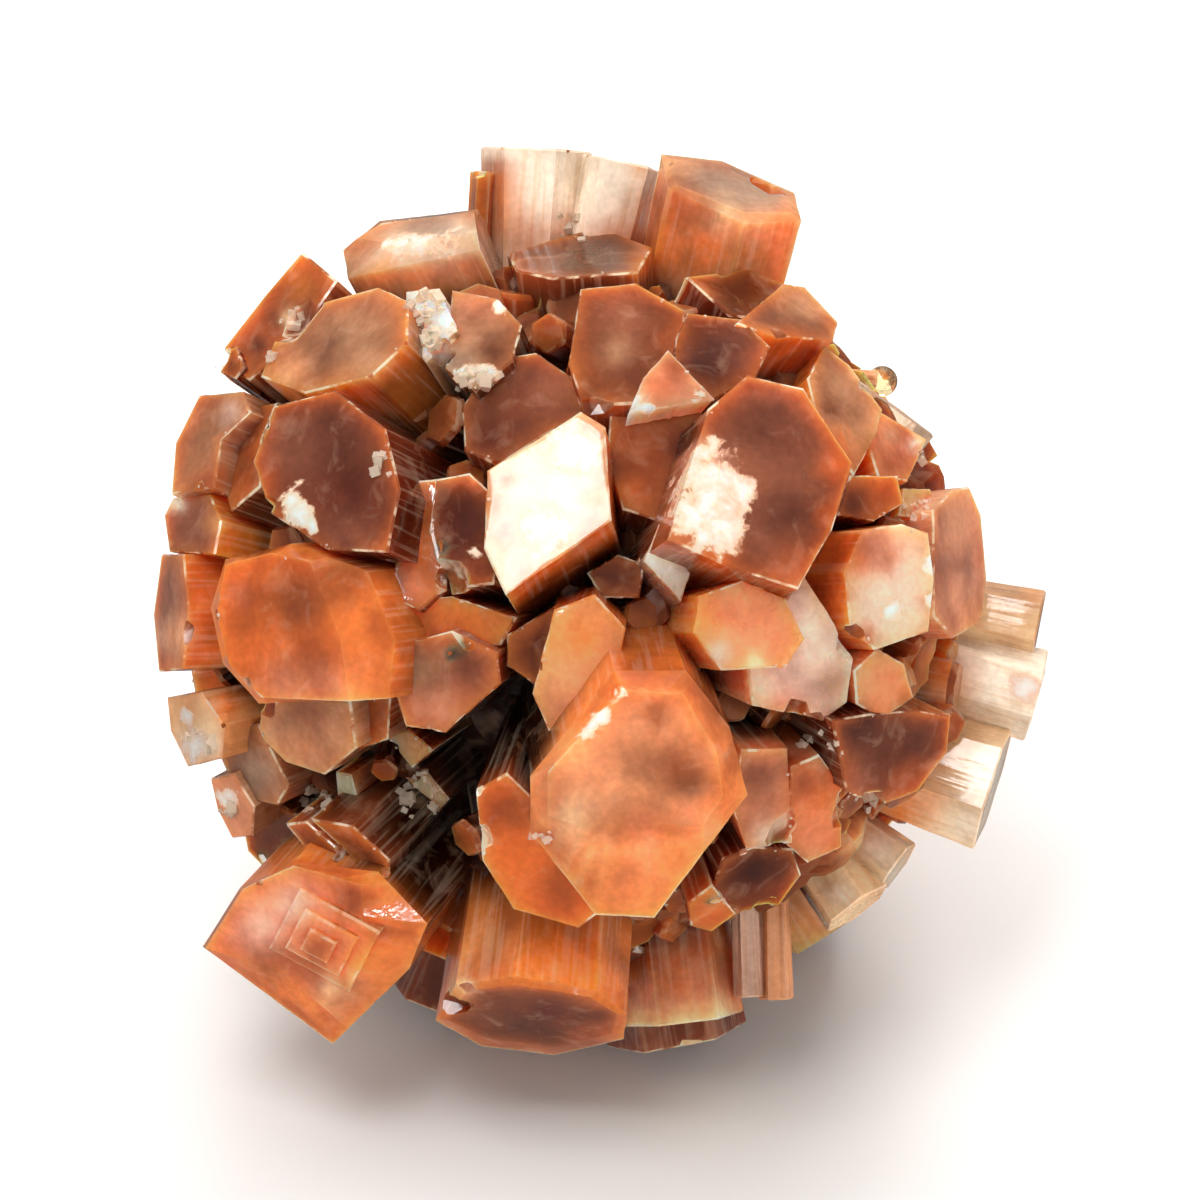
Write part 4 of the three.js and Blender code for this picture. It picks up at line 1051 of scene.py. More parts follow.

# %% Clouds inside the large crystals, and painted highlights: stain, right, up, width
# most are stains; many of the small white and cream ones are painted highlights where facets and edges
# glint
CLOUDS_AND_GLINTS = {
    "crown_middle": [("orange", -34, 147, 6), ("bright_orange", -35, 138, 8), ("amber", -37, 125, 10),
                     ("rust", -38, 149, 4), ("rust", -22, 115, 10), ("orange", -26, 122, 8),
                     ("orange", -9, 125, 9), ("white", -19, 148, 7)],
    "crown_right": [("gold", 14, 150, 4), ("bright_orange", 19, 136, 7), ("brown", 9, 137, 2.5),
                    ("rust", 14, 121, 8), ("orange", 4, 124, 8)],
    "shoulder": [("grey", 58, 140, 8), ("grey", 46, 143, 12), ("tan", 28, 148, 6),
                 ("bright_orange", 22, 132, 8), ("bright_orange", 18, 118, 9),
                 ("bright_orange", 36, 119, 9), ("cream", 42, 131, 5), ("peach", 50, 127, 5),
                 ("orange", 64, 126, 7), ("orange", 60, 114, 8), ("gold", 48, 114, 6)],
    "shoulder_small": [("tan", 70, 100, 7), ("orange", 64, 86, 7), ("rust", 72, 76, 7),
                       ("peach", 77, 86, 3)],
    "shoulder_dark": [("dark_rust", 47, 104, 7)],
    "amber_rim": [("umber", 84, 66, 8), ("brown", 78, 64, 5), ("rust", 86, 46, 6), ("tan", 90, 76, 6),
                  ("peach", 94, 60, 4), ("orange", 82, 54, 4), ("brown", 92, 50, 3)],
    "pink_rim": [("tan", 100, 57, 5), ("rust", 99, 46, 6), ("white", 108, 53, 2.5)],
    "grey_rim": [("white", -58, 121, 8), ("white", -50, 122, 8), ("white", -68, 120, 6),
                 ("grey", -60, 130, 9), ("tan", -84, 117, 6), ("gold", -76, 112, 6),
                 ("gold", -62, 110, 7), ("gold", -48, 111, 7)],
    "flake": [("brown", -111, 96, 4), ("amber", -103, 108, 8), ("dark_rust", -118, 87, 4),
              ("cream", -106, 97, 3)],
    "oval_face": [("tan", -84, 90, 10), ("peach", -106, 79, 6), ("amber", -114, 82, 4),
                  ("umber", -78, 104, 7), ("umber", -94, 86, 5), ("tan", -76, 80, 6)],
    "sparkling": [("white", -60, 99, 8), ("white", -58, 88, 5)],
    "grey_face": [("pink", -45, 100, 8), ("brown", -36, 84, 7), ("cream", -42, 75, 3),
                  ("grey", -48, 80, 6)],
    "brown_face": [("mauve", 8, 94, 12), ("tan", 6, 84, 5), ("rust", 22, 88, 5), ("brown", 12, 72, 7)],
    "dark_face": [("plum", 44, 88, 9), ("rust", 54, 80, 5), ("dark_rust", 36, 80, 8)],
    "salmon_chip": [("rust", 27, 79, 6), ("salmon", 19, 71, 6), ("white", 12, 66, 3)],
    "mauve_face": [("brown", -28, 66, 12), ("mauve", -16, 72, 8), ("maroon", -38, 54, 6)],
    "red_gap": [("rust", 12, 50, 10), ("maroon", 28, 52, 8), ("orange", 8, 36, 4)],
    "great_mauve": [("plum", 60, 56, 10), ("plum", 64, 28, 9), ("orange", 79, 44, 5), ("rust", 66, 12, 8),
                    ("mauve", 56, 70, 8), ("peach", 28, 28, 7), ("pale_pink", 34, 46, 6),
                    ("orange", 76, 28, 4), ("orange", 38, 12, 5)],
    "west_dark": [("plum", -86, 56, 10), ("maroon", -84, 36, 12), ("mauve", -104, 52, 10),
                  ("mauve", -86, 20, 8), ("rust", -112, 40, 5)],
    "red_block": [("bright_orange", -52, 44, 4), ("salmon", -42, 41, 3), ("maroon", -48, 26, 10),
                  ("rust", -40, 12, 6)],
    "red_side": [("orange", -64, 18, 8), ("rust", -62, 30, 6), ("salmon", -62, 4, 5)],
    "west_smooth": [("pale_pink", -126, 64, 4), ("rust", -134, 40, 5)],
    "west_stub": [("mauve", -140, 27, 8), ("gold", -131, 26, 4), ("white", -145, 33, 2.5)],
    "west_block": [("mauve", -148, 2, 7), ("grey", -151, -12, 6), ("peach", -144, -12, 6)],
    "west_pale": [("gold", -142, -38, 6), ("white", -140, -50, 5), ("white", -133, -50, 3)],
    "west_grey": [("brown", -124, -44, 6), ("grey", -118, -60, 9)],
    "orange_face": [("brown", -101, -2, 12), ("rust", -116, 17, 7), ("rust", -78, 8, 7),
                    ("pink", -106, -28, 8), ("pink", -92, -28, 7), ("peach", -79, -14, 5),
                    ("peach", -79, -28, 6), ("salmon", -122, 2, 4), ("peach", -92, 9, 3)],
    "grey_low": [("mauve", -98, -38, 8), ("peach", -100, -50, 7)],
    "mauve_small": [("pink", -56, -36, 7), ("plum", -44, -22, 6), ("tan", -60, -24, 6)],
    "terraced": [("pale_pink", -116, -112, 8), ("pale_pink", -104, -104, 7), ("coral", -96, -116, 8),
                 ("rust", -84, -102, 7), ("rust", -94, -117, 7), ("bright_orange", -80, -126, 7),
                 ("peach", -94, -140, 6), ("cream", -92, -132, 4), ("peach", -84, -130, 4),
                 ("brown", -116, -128, 5), ("rust", -74, -112, 6)],
    "orange_low": [("rust", -30, -72, 8), ("orange", -26, -88, 9), ("cream", -19, -78, 2.5),
                   ("rust", -16, -98, 7)],
    "south_face": [("peach", -48, -126, 7), ("cream", -46, -131, 3), ("gold", -38, -118, 8),
                   ("amber", -20, -114, 8), ("bright_orange", 4, -124, 6), ("brown", -34, -138, 8),
                   ("rust", -4, -148, 9), ("maroon", -18, -140, 8)],
    "orange_twin": [("bright_orange", -6, -12, 9), ("peach", -14, -30, 8), ("cream", -2, -36, 3)],
    "king": [("rust", 26, -56, 11), ("rust", 18, -38, 5), ("orange", 22, -22, 6), ("orange", 31, -32, 5),
             ("rust", 39, -41, 5), ("bright_orange", 44, -57, 5), ("orange", 43, -68, 5),
             ("brown", 30, -62, 7), ("peach", -10, -56, 11), ("cream", -9, -72, 7), ("peach", 2, -80, 7),
             ("coral", 14, -74, 5), ("coral", 32, -75, 6), ("cream", 20, -83, 3), ("salmon", 10, -94, 9),
             ("orange", 8, -24, 6)],
    "under_crown": [("brown", -20, 117, 7), ("dark_rust", 3, 119, 7), ("amber", 16, 112, 5)],
    "mirror": [("amber", -36, 32, 4), ("gold", -33, 18, 4), ("amber", -37, 8, 4), ("gold", -24, 2, 3),
               ("amber", -2, 34, 3), ("gold", -12, 18, 4), ("orange", -30, 40, 3)],
    "rhomb_chip": [("white", 22, 13, 8)],
    "splinter": [("cream", -86, -66, 6)],
    "salmon_face": [("bright_orange", 38, -6, 6), ("coral", 52, -10, 10), ("cream", 52, -21, 3),
                    ("pale_pink", 40, -18, 4), ("coral", 47, -4, 8)],
    "pink_grey": [("pale_pink", 72, -16, 9), ("pale_pink", 66, -28, 7), ("salmon", 62, -36, 7),
                  ("tan", 78, -28, 6)],
    "salmon_bead": [("salmon", 96, -28, 8), ("rust", 104, -34, 4)],
    "pink_face": [("orange", 87, 14, 8), ("pale_pink", 98, -2, 8), ("pink", 96, 16, 6),
                  ("rust", 90, -12, 4), ("rust", 97, 12, 2.5)],
    "east_face": [("mauve", 119, 12, 8), ("pink", 129, 2, 8), ("tan", 122, 30, 8)],
    "mauve_low": [("plum", 96, -46, 10), ("rust", 104, -60, 8), ("mauve", 88, -62, 6),
                  ("dark_rust", 88, -42, 5)],
    "amber_low": [("orange", 96, 38, 6), ("brown", 86, 33, 5)],
    "pale_slab_1": [("bright_orange", 108, -24, 8), ("gold", 118, -18, 5), ("gold", 120, -32, 6),
                    ("white", 134, -22, 10), ("white", 142, -32, 10), ("peach", 126, -42, 4)],
    "pale_slab_2": [("bright_orange", 100, -72, 11), ("orange", 112, -56, 7), ("peach", 114, -70, 6),
                    ("gold", 126, -50, 6), ("white", 132, -60, 8), ("white", 126, -78, 8)],
    "pale_prism_1": [("peach", 88, -78, 6), ("white", 94, -86, 7), ("white", 102, -96, 6),
                     ("pale_pink", 98, -82, 4)],
    "pale_prism_2": [("tan", 78, -98, 6), ("peach", 72, -106, 5), ("white", 84, -102, 3),
                     ("cream", 82, -112, 4)],
    "pink_column_1": [("mauve", 52, -58, 7), ("pale_pink", 56, -80, 5)],
    "pink_column_2": [("orange", 74, -66, 7), ("rust", 68, -62, 4), ("salmon", 72, -82, 6)],
    "brown_low": [("dark_rust", 52, -90, 8), ("rust", 60, -100, 6)],
    "south_block": [("maroon", 16, -116, 9), ("maroon", 30, -114, 8), ("orange", 14, -129, 6),
                    ("bright_orange", 28, -128, 8), ("peach", 18, -137, 6), ("peach", 36, -135, 8),
                    ("gold", 46, -124, 5), ("cream", 14, -144, 6), ("cream", 28, -144, 6),
                    ("cream", 42, -142, 6)],
    "east_stub": [("tan", 140, 2, 9), ("cream", 138, -3, 3), ("gold", 150, 2, 4)],
}
CLOUD_STRENGTH = 0.85  # at the middle of a cloud
# painted glow: light that comes out of the gaps beside the clear crystals
GLOWS = [("orange", 64, 85, 5), ("bright_orange", 116, -22, 8), ("gold", 118, -32, 7),
         ("orange", 108, -48, 7), ("bright_orange", 102, -72, 7), ("peach", 88, -82, 6),
         ("orange", 12, 124, 6), ("orange", 12, 48, 5), ("orange", -128, -36, 4)]

# %% Frosted patches, rough and pitted, and painted white as highlights where they glint: right, up, width
FROST_HIGHLIGHTS = {
    "great_mauve": [(37, 34, 13), (37, 51, 5), (29, 27, 7), (41, 21, 7), (48, 37, 5)],
    "west_dark": [(-104, 34, 4), (-101, 29, 5), (-97, 25, 3), (-103, 40, 2)],
    "sparkling": [(-60, 99, 9), (-57, 88, 7), (-52, 97, 6)],
    "grey_face": [(-46, 76, 4), (-38, 76, 4), (-34, 99, 3)],
    "mirror": [(-20, 24, 9), (-10, 50, 9)],
    "west_pale": [(-140, -50, 6), (-142, -40, 3)],
    "salmon_chip": [(12, 66, 3), (16, 64, 2.5), (33, 68, 3)],
    "pink_face": [(98, -3, 5), (112, 12, 3), (112, 0, 3)],
    "red_block": [(-42, 15, 2.5)],
    "king": [(-5, -46, 2.5), (0, -39, 4), (6, -31, 2.5), (2, -80, 3)],
    "pale_slab_1": [(146, -30, 6)],
    "west_chip": [(-128, -68, 4)],
    "grey_rim": [(right, 127 + right / 10, 4.8) for right in range(-73, -43, 5)],
}

# %% Work the stain and the painted light out at every face corner
RIM_GLOW_WIDTH = 0.8  # the painted glow on the warm rim of an end, where light leaks out of its sides
RIM_GLOW_WARMTH = 0.45
RIM_GLOW_STRENGTH = 0.8
SIDE_FADE = (0.5, 6)  # the sides turn to maroon between these depths below the end
FADE_KEPT = 0.4  # and keep this share of their own stain
FROST_HIGHLIGHT_REACH = 2  # a patch of frosting and its painted highlight end this many times its width from its middle
DARK_RADII = (15, 20)  # everything darkens towards the middle between these radii: the iron stain near the root, and painted shade
CLEAR_OFFSET = 5  # this much deeper in the clear ones
LIT_DEPTHS = (0.3, 2.5)  # but light reaches this far down beside an end
HOLLOW_EDGE = (0.45, 0.9)  # and painted shade darkens it in the hollows and the shaded gaps, between these shares of their width
HOLLOW_LIT = 0.6  # light that the sides of the ends get in a hollow
HOLLOW_SHADE = 0.25
# painted shade on the stained mass, deepest near the middle
MASS_SHADE, STUB_SHADE = 0.5, 0.6
NEXT_PATTERN = (3.7, 5.3, 1.9)  # moves the pattern on from crystal to crystal
RISEN = 0.05  # the edge of a growth step lies above the end that it stands on
SLOPED_WEAR_HIGHLIGHT, OTHER_WEAR_HIGHLIGHT = 0.4, 0.25  # scuffed edges with a painted highlight, on sloped ends and on crystals by rule


def smooth_step(low, high, value):
    share = np.clip((value - low) / (high - low), 0, 1)
    return share * share * (3 - 2 * share)


def mixed(first, second, share):
    return first + (second - first) * share[:, None]


def store(mesh, name, kind, field, values):
    layer = mesh.attributes.new(name, kind, "CORNER")
    layer.data.foreach_set(field, np.ascontiguousarray(values, np.float32).ravel())


every_end = np.array([crystal["end"] for crystal in crystals])
every_way = np.array([unit(end) for end in every_end])
every_frame = np.array([frame_of(crystal) for crystal in crystals])
flat_middles = np.array([crystal["flat_middle"] for crystal in crystals])
flat_radii = np.array([crystal["flat_radii"] for crystal in crystals])
stains = [stains_of(crystal) for crystal in crystals]
end_tones, side_tones = np.array([[tone[end], tone[side]] for end, side, _ in stains]).transpose(1, 0, 2)
clearnesses = np.array([clearness for _, _, clearness in stains])
is_sloped = np.array(["face" in crystal for crystal in crystals])
is_clear = np.array([crystal["name"] in CLEAR_ONES for crystal in crystals])


def distance_from_rim(owner, local):
    across_end = local[:, :2] - flat_middles[owner]
    turn = np.arctan2(across_end[:, 1], across_end[:, 0]) / (2 * math.pi) * AROUND
    before = np.floor(turn).astype(int)
    flat_radius = (flat_radii[owner, before % AROUND] * (1 - turn + before)
                   + flat_radii[owner, (before + 1) % AROUND] * (turn - before))
    return np.maximum(flat_radius - np.linalg.norm(across_end, axis=1), 0)


def read_corners(mesh):
    """Where each face corner lies, the crystal it belongs to, its kind of face and its mark."""
    face_marks = np.empty(len(mesh.polygons), np.int32)
    mesh.attributes["mark"].data.foreach_get("value", face_marks)
    loop_total = np.empty(len(mesh.polygons), np.int32)
    mesh.polygons.foreach_get("loop_total", loop_total)
    corner_vertex = np.empty(len(mesh.loops), np.int32)
    mesh.loops.foreach_get("vertex_index", corner_vertex)
    marks = np.repeat(face_marks, loop_total)
    in_show = (coordinates(mesh)[corner_vertex] / MM - (0, 0, REST_HEIGHT)) @ SHOW_FRAME
    owner = np.where(marks >= 0, marks // KINDS, np.argmax(in_show @ every_way.T, axis=1))
    part = np.where(marks >= 0, marks % KINDS, np.where(marks == CHIP_MARK, BEVEL, END))
    return in_show, owner, part, marks


def stains_and_rim_glow(owner, part, local, depth):
    """The crystals' own stains, with maroon down the sides, and a painted glow on the warm rim around the
    end where light leaks out.
    """
    end_tone, side_tone = end_tones[owner], side_tones[owner]
    rim_glow_tone = (end_tone + side_tone) / 2 * (1 - RIM_GLOW_WARMTH) + tone["bright_orange"] * RIM_GLOW_WARMTH
    rim_glow = RIM_GLOW_STRENGTH * np.exp(-distance_from_rim(owner, local) / RIM_GLOW_WIDTH)
    ends_colour = mixed(end_tone, rim_glow_tone, rim_glow)
    fade = smooth_step(*SIDE_FADE, depth) * ~is_clear[owner]
    faded = side_tone * FADE_KEPT + tone["maroon"] * (1 - FADE_KEPT)
    bevel_colour = (ends_colour + side_tone) / 2
    colour = np.where((part == SIDE)[:, None], mixed(side_tone, faded, fade), bevel_colour)
    return np.where((part == END)[:, None], ends_colour, colour)


def add_clouds_and_glints(colour, owner, seen_at):
    """Mix the clouds into the colours, the small white ones as painted highlights, and work out where the
    frosting with its painted highlight lies.
    """
    frost_highlight = np.zeros(len(owner))
    for number, crystal in enumerate(by_hand):
        own = np.flatnonzero(owner == number)
        for cloud_tone, right, up, wide in CLOUDS_AND_GLINTS.get(crystal["name"], ()):
            apart = np.linalg.norm(seen_at[own] - (right, up), axis=1) / wide
            colour[own] = mixed(colour[own], tone[cloud_tone], CLOUD_STRENGTH * np.exp(-apart**2))
        for right, up, wide in FROST_HIGHLIGHTS.get(crystal["name"], ()):
            apart = np.linalg.norm(seen_at[own] - (right, up), axis=1) / wide
            frost_highlight[own] = np.maximum(frost_highlight[own], 1 - apart / FROST_HIGHLIGHT_REACH)
    return frost_highlight


def shaded(colour, in_show, is_mass, is_side, near_end, inner):
    """Painted shade towards the middle, in the hollows and in the shaded gaps, on top of the iron stain
    near the root, and a painted glow beside the clear crystals.
    """
    dark = np.broadcast_to(tone["dark_rust"], colour.shape)
    colour = mixed(dark, colour, inner)
    stub = smooth_step(MASS_RADIUS, GAP_RADIUS + STUB_HEIGHT, np.linalg.norm(in_show, axis=1))
    mass_tone = mixed(dark * MASS_SHADE, tone["rust"] * STUB_SHADE, stub)
    colour = np.where(is_mass[:, None], mass_tone, colour)
    for place, wide in HOLLOWS + SHADED_GAPS:
        way = unit(point_at(place, MEAN_REACH))
        out = in_show @ way
        apart = np.linalg.norm(in_show - out[:, None] * way, axis=1) / wide
        lit = np.maximum(smooth_step(*HOLLOW_EDGE, apart), near_end * HOLLOW_LIT)
        reached = (is_side | is_mass) & (out > 0)
        colour = mixed(dark * HOLLOW_SHADE, colour, np.where(reached, lit, 1))
    for glow_tone, right, up, wide in GLOWS:
        apart = np.linalg.norm(in_show[:, :2] / SQUARE - (right, up), axis=1) / wide
        reached = (is_side | is_mass) & (in_show[:, 2] > 0)
        colour = mixed(colour, tone[glow_tone], np.exp(-apart**2) * reached)
    return colour


def paint_stain_and_light(mesh):
    """Store each face corner's colour (its stains, with painted shade, glow and highlights), clearness,
    scuffed edges with a painted highlight, frosting with a painted highlight and place in the growth
    pattern.
    """
    in_show, owner, part, marks = read_corners(mesh)
    local = np.einsum("nij,nj->ni", every_frame[owner], in_show - every_end[owner])
    depth = np.maximum(-local[:, 2], 0)
    is_side, is_mass, is_bead = part == SIDE, marks == MASS_MARK, marks == BEAD_MARK
    laid_out = owner < len(by_hand)
    near_end = laid_out * (1 - smooth_step(*LIT_DEPTHS, depth))
    radius = np.linalg.norm(in_show, axis=1) + CLEAR_OFFSET * is_clear[owner]
    inner = np.maximum(near_end, smooth_step(*DARK_RADII, radius))

    colour = stains_and_rim_glow(owner, part, local, depth)
    frost_highlight = add_clouds_and_glints(colour, owner, in_show[:, :2] / SQUARE)
    colour = shaded(colour, in_show, is_mass, is_side, near_end, inner)
    colour = np.where(is_bead[:, None], tone["cream"], colour)
    clearness = np.where(is_bead, 1, clearnesses[owner] * inner * ~is_mass)
    # bevels with scuffed edges and a painted highlight
    worn_and_highlit = (part == BEVEL) & (~is_sloped[owner] | (local[:, 2] > RISEN))
    wear_and_highlight = np.where(laid_out, np.where(is_sloped[owner], SLOPED_WEAR_HIGHLIGHT, 1), OTHER_WEAR_HIGHLIGHT)

    store(mesh, "stain_and_light", "FLOAT_COLOR", "color", np.column_stack([colour, np.ones(len(owner))]))
    store(mesh, "clearness", "FLOAT", "value", clearness)
    store(mesh, "growth", "FLOAT_VECTOR", "vector", local + owner[:, None] * np.array(NEXT_PATTERN))
    store(mesh, "is_side", "FLOAT", "value", is_side)
    store(mesh, "is_edge", "FLOAT", "value", worn_and_highlit * wear_and_highlight)
    store(mesh, "frost_highlight", "FLOAT", "value", frost_highlight)
    mesh.attributes.remove(mesh.attributes["mark"])
    print("stained", len(owner), "face corners")


paint_stain_and_light(cluster.data)
paint_stain_and_light(clear_crystals.data)

# %% [markdown]
# ## The material: aragonite
#
# Aragonite is a clear to cloudy calcium carbonate with a glassy, slightly waxy surface and an
# index of refraction near 1.6. Part of the light goes straight through and is absorbed on its
# way, and part is scattered just below the surface.

# %% A helper that adds a node
def add_node(tree, kind, inputs=(), **settings):
    """Add a node with its settings and links.

    Its inputs come by name, or in the order in which the node shows them. An input that is given
    another node takes the first output that this one shows.
    """
    node = tree.nodes.new("ShaderNode" + kind)
    for name, value in settings.items():
        setattr(node, name, value)
    if isinstance(inputs, dict):
        sockets = [node.inputs[name] for name in inputs]
        inputs = inputs.values()
    else:
        sockets = [socket for socket in node.inputs if socket.enabled]
    for socket, value in zip(sockets, inputs):
        if isinstance(value, bpy.types.Node):
            value = next(output for output in value.outputs if output.enabled)
        if isinstance(value, bpy.types.NodeSocket):
            tree.links.new(value, socket)
        else:
            socket.default_value = value
    return node


def new_material(name):
    material = bpy.data.materials.new(name)
    material.use_nodes = True
    material.node_tree.nodes.clear()
    return material, material.node_tree


MULTIPLY = {"operation": "MULTIPLY"}
ADD = {"operation": "ADD"}
MIXED = {"data_type": "RGBA", "blend_type": "MIX"}
TINTED = {"data_type": "RGBA", "blend_type": "MULTIPLY"}
print("before the new materials there are", len(bpy.data.materials))

# %% Its pattern
ARAGONITE_IOR = 1.6
PER_METRE = 1 / MM
CLOUD_SIZE, WISP_SIZE, SPECK_SIZE = 3.4, 1.7, 0.35
STREAK_WIDTH, STREAK_LENGTH = 0.32, 7
STEP_CELL, STEPS = 2.2, 6


def add_pattern(tree):
    """The noises, streaks and zones that the rest goes by."""
    place = add_node(tree, "TexCoord").outputs["Object"]
    growth = add_node(tree, "Attribute", attribute_name="growth").outputs["Vector"]
    clouds = add_node(tree, "TexNoise", {
        "Vector": place, "Scale": PER_METRE / CLOUD_SIZE, "Detail": 3, "Distortion": 0.15})
    wisps = add_node(tree, "TexNoise", {
        "Vector": place, "Scale": PER_METRE / WISP_SIZE, "Detail": 3, "Roughness": 0.6,
        "Distortion": 0.7})
    specks = add_node(tree, "TexNoise", {
        "Vector": place, "Scale": PER_METRE / SPECK_SIZE, "Detail": 2})
    narrow = (1 / STREAK_WIDTH, 1 / STREAK_WIDTH, 1 / STREAK_LENGTH)
    stretched = add_node(tree, "Mapping", {"Vector": growth, "Scale": narrow})
    streaks = add_node(tree, "TexNoise", {
        "Vector": stretched, "Scale": 1, "Detail": 1, "Roughness": 0.6})
    zones = add_node(tree, "TexVoronoi", {
        "Vector": growth, "Scale": 1 / STEP_CELL, "Randomness": 0.9},
        voronoi_dimensions="2D", distance="CHEBYCHEV")
    return clouds, wisps, specks, streaks, zones


print("clouds are", CLOUD_SIZE, "mm wide, wisps", WISP_SIZE, "and specks", SPECK_SIZE)

# %% Its colour
CLOUDED, SPECKED = (0.34, 0.62), (0.4, 0.62)  # parts of the noise that these go by
LINED, GLOWING, GLOW_SHARE = (0.52, 0.66), (0.48, 0.36), 0.12
WISPED, WISP_SHARE = (0.54, 0.74), 0.16
# scuffed edges get a pale painted highlight
WORN_HIGHLIGHT, WORN_HIGHLIGHT_SHARE = (0.47, 0.6), 0.8
FROST_HIGHLIGHT_EDGES, THICK = (0.44, 0.56), (0.5, 0.85)
RAGGED = (0.3, 0.7)
SPECK_TINTS = (0.94, 0.93, 0.92, 1), (1.05, 1.05, 1.05, 1)  # tints multiply a stain
LINE_TINT = (0.86, 0.7, 0.54, 1)
GLOW_COLOUR = (*linear("#ffe5c8"), 1)
WISP_COLOUR = (*linear("#ffceaa"), 1)
WORN_HIGHLIGHT_COLOUR = (*linear("#ffddbc"), 1)
FROST_HIGHLIGHT_COLOURS = (*linear("#f9c8a6"), 1), (*linear("#fff7ed"), 1)


def add_colour(tree, pattern, is_side, frost_highlight, cloud_tints, streak_share):
    """The stored colour with dark and light clouds, rust lines, pale wisps, a painted highlight on
    scuffed edges and white frosting that is a painted highlight.
    """
    clouds, wisps, specks, streaks, _ = pattern
    stain_and_light = add_node(tree, "Attribute", attribute_name="stain_and_light").outputs["Color"]
    is_edge = add_node(tree, "Attribute", attribute_name="is_edge").outputs["Fac"]
    cloud = add_node(tree, "MapRange", (clouds, *CLOUDED))
    tint = add_node(tree, "Mix", (cloud, *cloud_tints), **MIXED)
    cloudy = add_node(tree, "Mix", (1, stain_and_light, tint), **TINTED)
    speck = add_node(tree, "MapRange", (specks, *SPECKED))
    speckled = add_node(tree, "Mix", (speck, *SPECK_TINTS), **MIXED)
    clouded = add_node(tree, "Mix", (1, cloudy, speckled), **TINTED)

    rusty = add_node(tree, "MapRange", (streaks, *LINED, 0, streak_share))
    line = add_node(tree, "Math", (rusty, is_side), **MULTIPLY)
    rusted = add_node(tree, "Mix", (1, clouded, LINE_TINT), **TINTED)
    lined = add_node(tree, "Mix", (line, clouded, rusted), **MIXED)
    bright = add_node(tree, "MapRange", (streaks, *GLOWING))
    glow = add_node(tree, "Math", (bright, is_side), **MULTIPLY)
    slight = add_node(tree, "Math", (glow, GLOW_SHARE), **MULTIPLY)
    glowing = add_node(tree, "Mix", (slight, lined, GLOW_COLOUR), **MIXED)

    wisp = add_node(tree, "MapRange", (wisps, *WISPED, 0, WISP_SHARE))
    wispy = add_node(tree, "Mix", (wisp, glowing, WISP_COLOUR), **MIXED)
    rubbed_highlight = add_node(tree, "MapRange", (wisps, *WORN_HIGHLIGHT, 0, WORN_HIGHLIGHT_SHARE))
    worn_and_highlit = add_node(tree, "Math", (is_edge, rubbed_highlight), **MULTIPLY)
    veiled = add_node(tree, "Mix", (worn_and_highlit, wispy, WORN_HIGHLIGHT_COLOUR), **MIXED)

    coarse = add_node(tree, "MapRange", (wisps, *RAGGED, -0.2, 0.2))
    fine = add_node(tree, "MapRange", (specks, *RAGGED, -0.06, 0.06))
    torn = add_node(tree, "Math", (coarse, fine), **ADD)
    ragged = add_node(tree, "Math", (frost_highlight, torn), **ADD)
    frost_highlight_mask = add_node(tree, "MapRange", (ragged, *FROST_HIGHLIGHT_EDGES))
    thick = add_node(tree, "MapRange", (ragged, *THICK))
    white = add_node(tree, "Mix", (thick, *FROST_HIGHLIGHT_COLOURS), **MIXED)
    return add_node(tree, "Mix", (frost_highlight_mask, veiled, white), **MIXED), frost_highlight_mask


print("worn edges are mixed with", [round(value, 2) for value in WORN_HIGHLIGHT_COLOUR])

# %% Its surface and its shader
GLOSS, WISP_EDGES = (0.16, 0.05), (0.35, 0.65)  # wisps are smoother
FROST_ROUGHNESS, DEEP_ROUGHNESS = 0.2, 0.4
OUTER = (0.02, 0.15)  # clearness that parts the deep and the outer ends of a crystal
STEP_HEIGHT, GROOVE_DEPTH, PIT_DEPTH = 0.06, 0.12, 0.08


def add_relief(tree, pattern, is_side, outer, frost_highlight_mask):
    """Growth steps on the ends, grooves down the sides and pits all over."""
    clouds, _, specks, streaks, zones = pattern
    rising = add_node(tree, "Math", (zones, STEPS), **MULTIPLY)
    stepping = add_node(tree, "Math", (rising,), operation="FLOOR")
    on_end = add_node(tree, "Math", (1, is_side), operation="SUBTRACT")
    patchy = add_node(tree, "MapRange", (clouds, 0.45, 0.6, 0, 0.8))
    stepped_here = add_node(tree, "Math", (on_end, patchy), **MULTIPLY)
    steps = add_node(tree, "Bump", {
        "Height": stepping, "Distance": STEP_HEIGHT * MM, "Strength": stepped_here})
    more_on_sides = add_node(tree, "MapRange", (is_side, 0, 1, 0.05, 0.3))
    grooved_here = add_node(tree, "Math", (outer, more_on_sides), **MULTIPLY)
    grooves = add_node(tree, "Bump", {
        "Height": streaks, "Distance": GROOVE_DEPTH * MM, "Strength": grooved_here,
        "Normal": steps})
    pitted_here = add_node(tree, "MapRange", (frost_highlight_mask, 0, 1, 0.1, 0.2))
    return add_node(tree, "Bump", {
        "Height": specks, "Distance": PIT_DEPTH * MM, "Strength": pitted_here, "Normal": grooves})


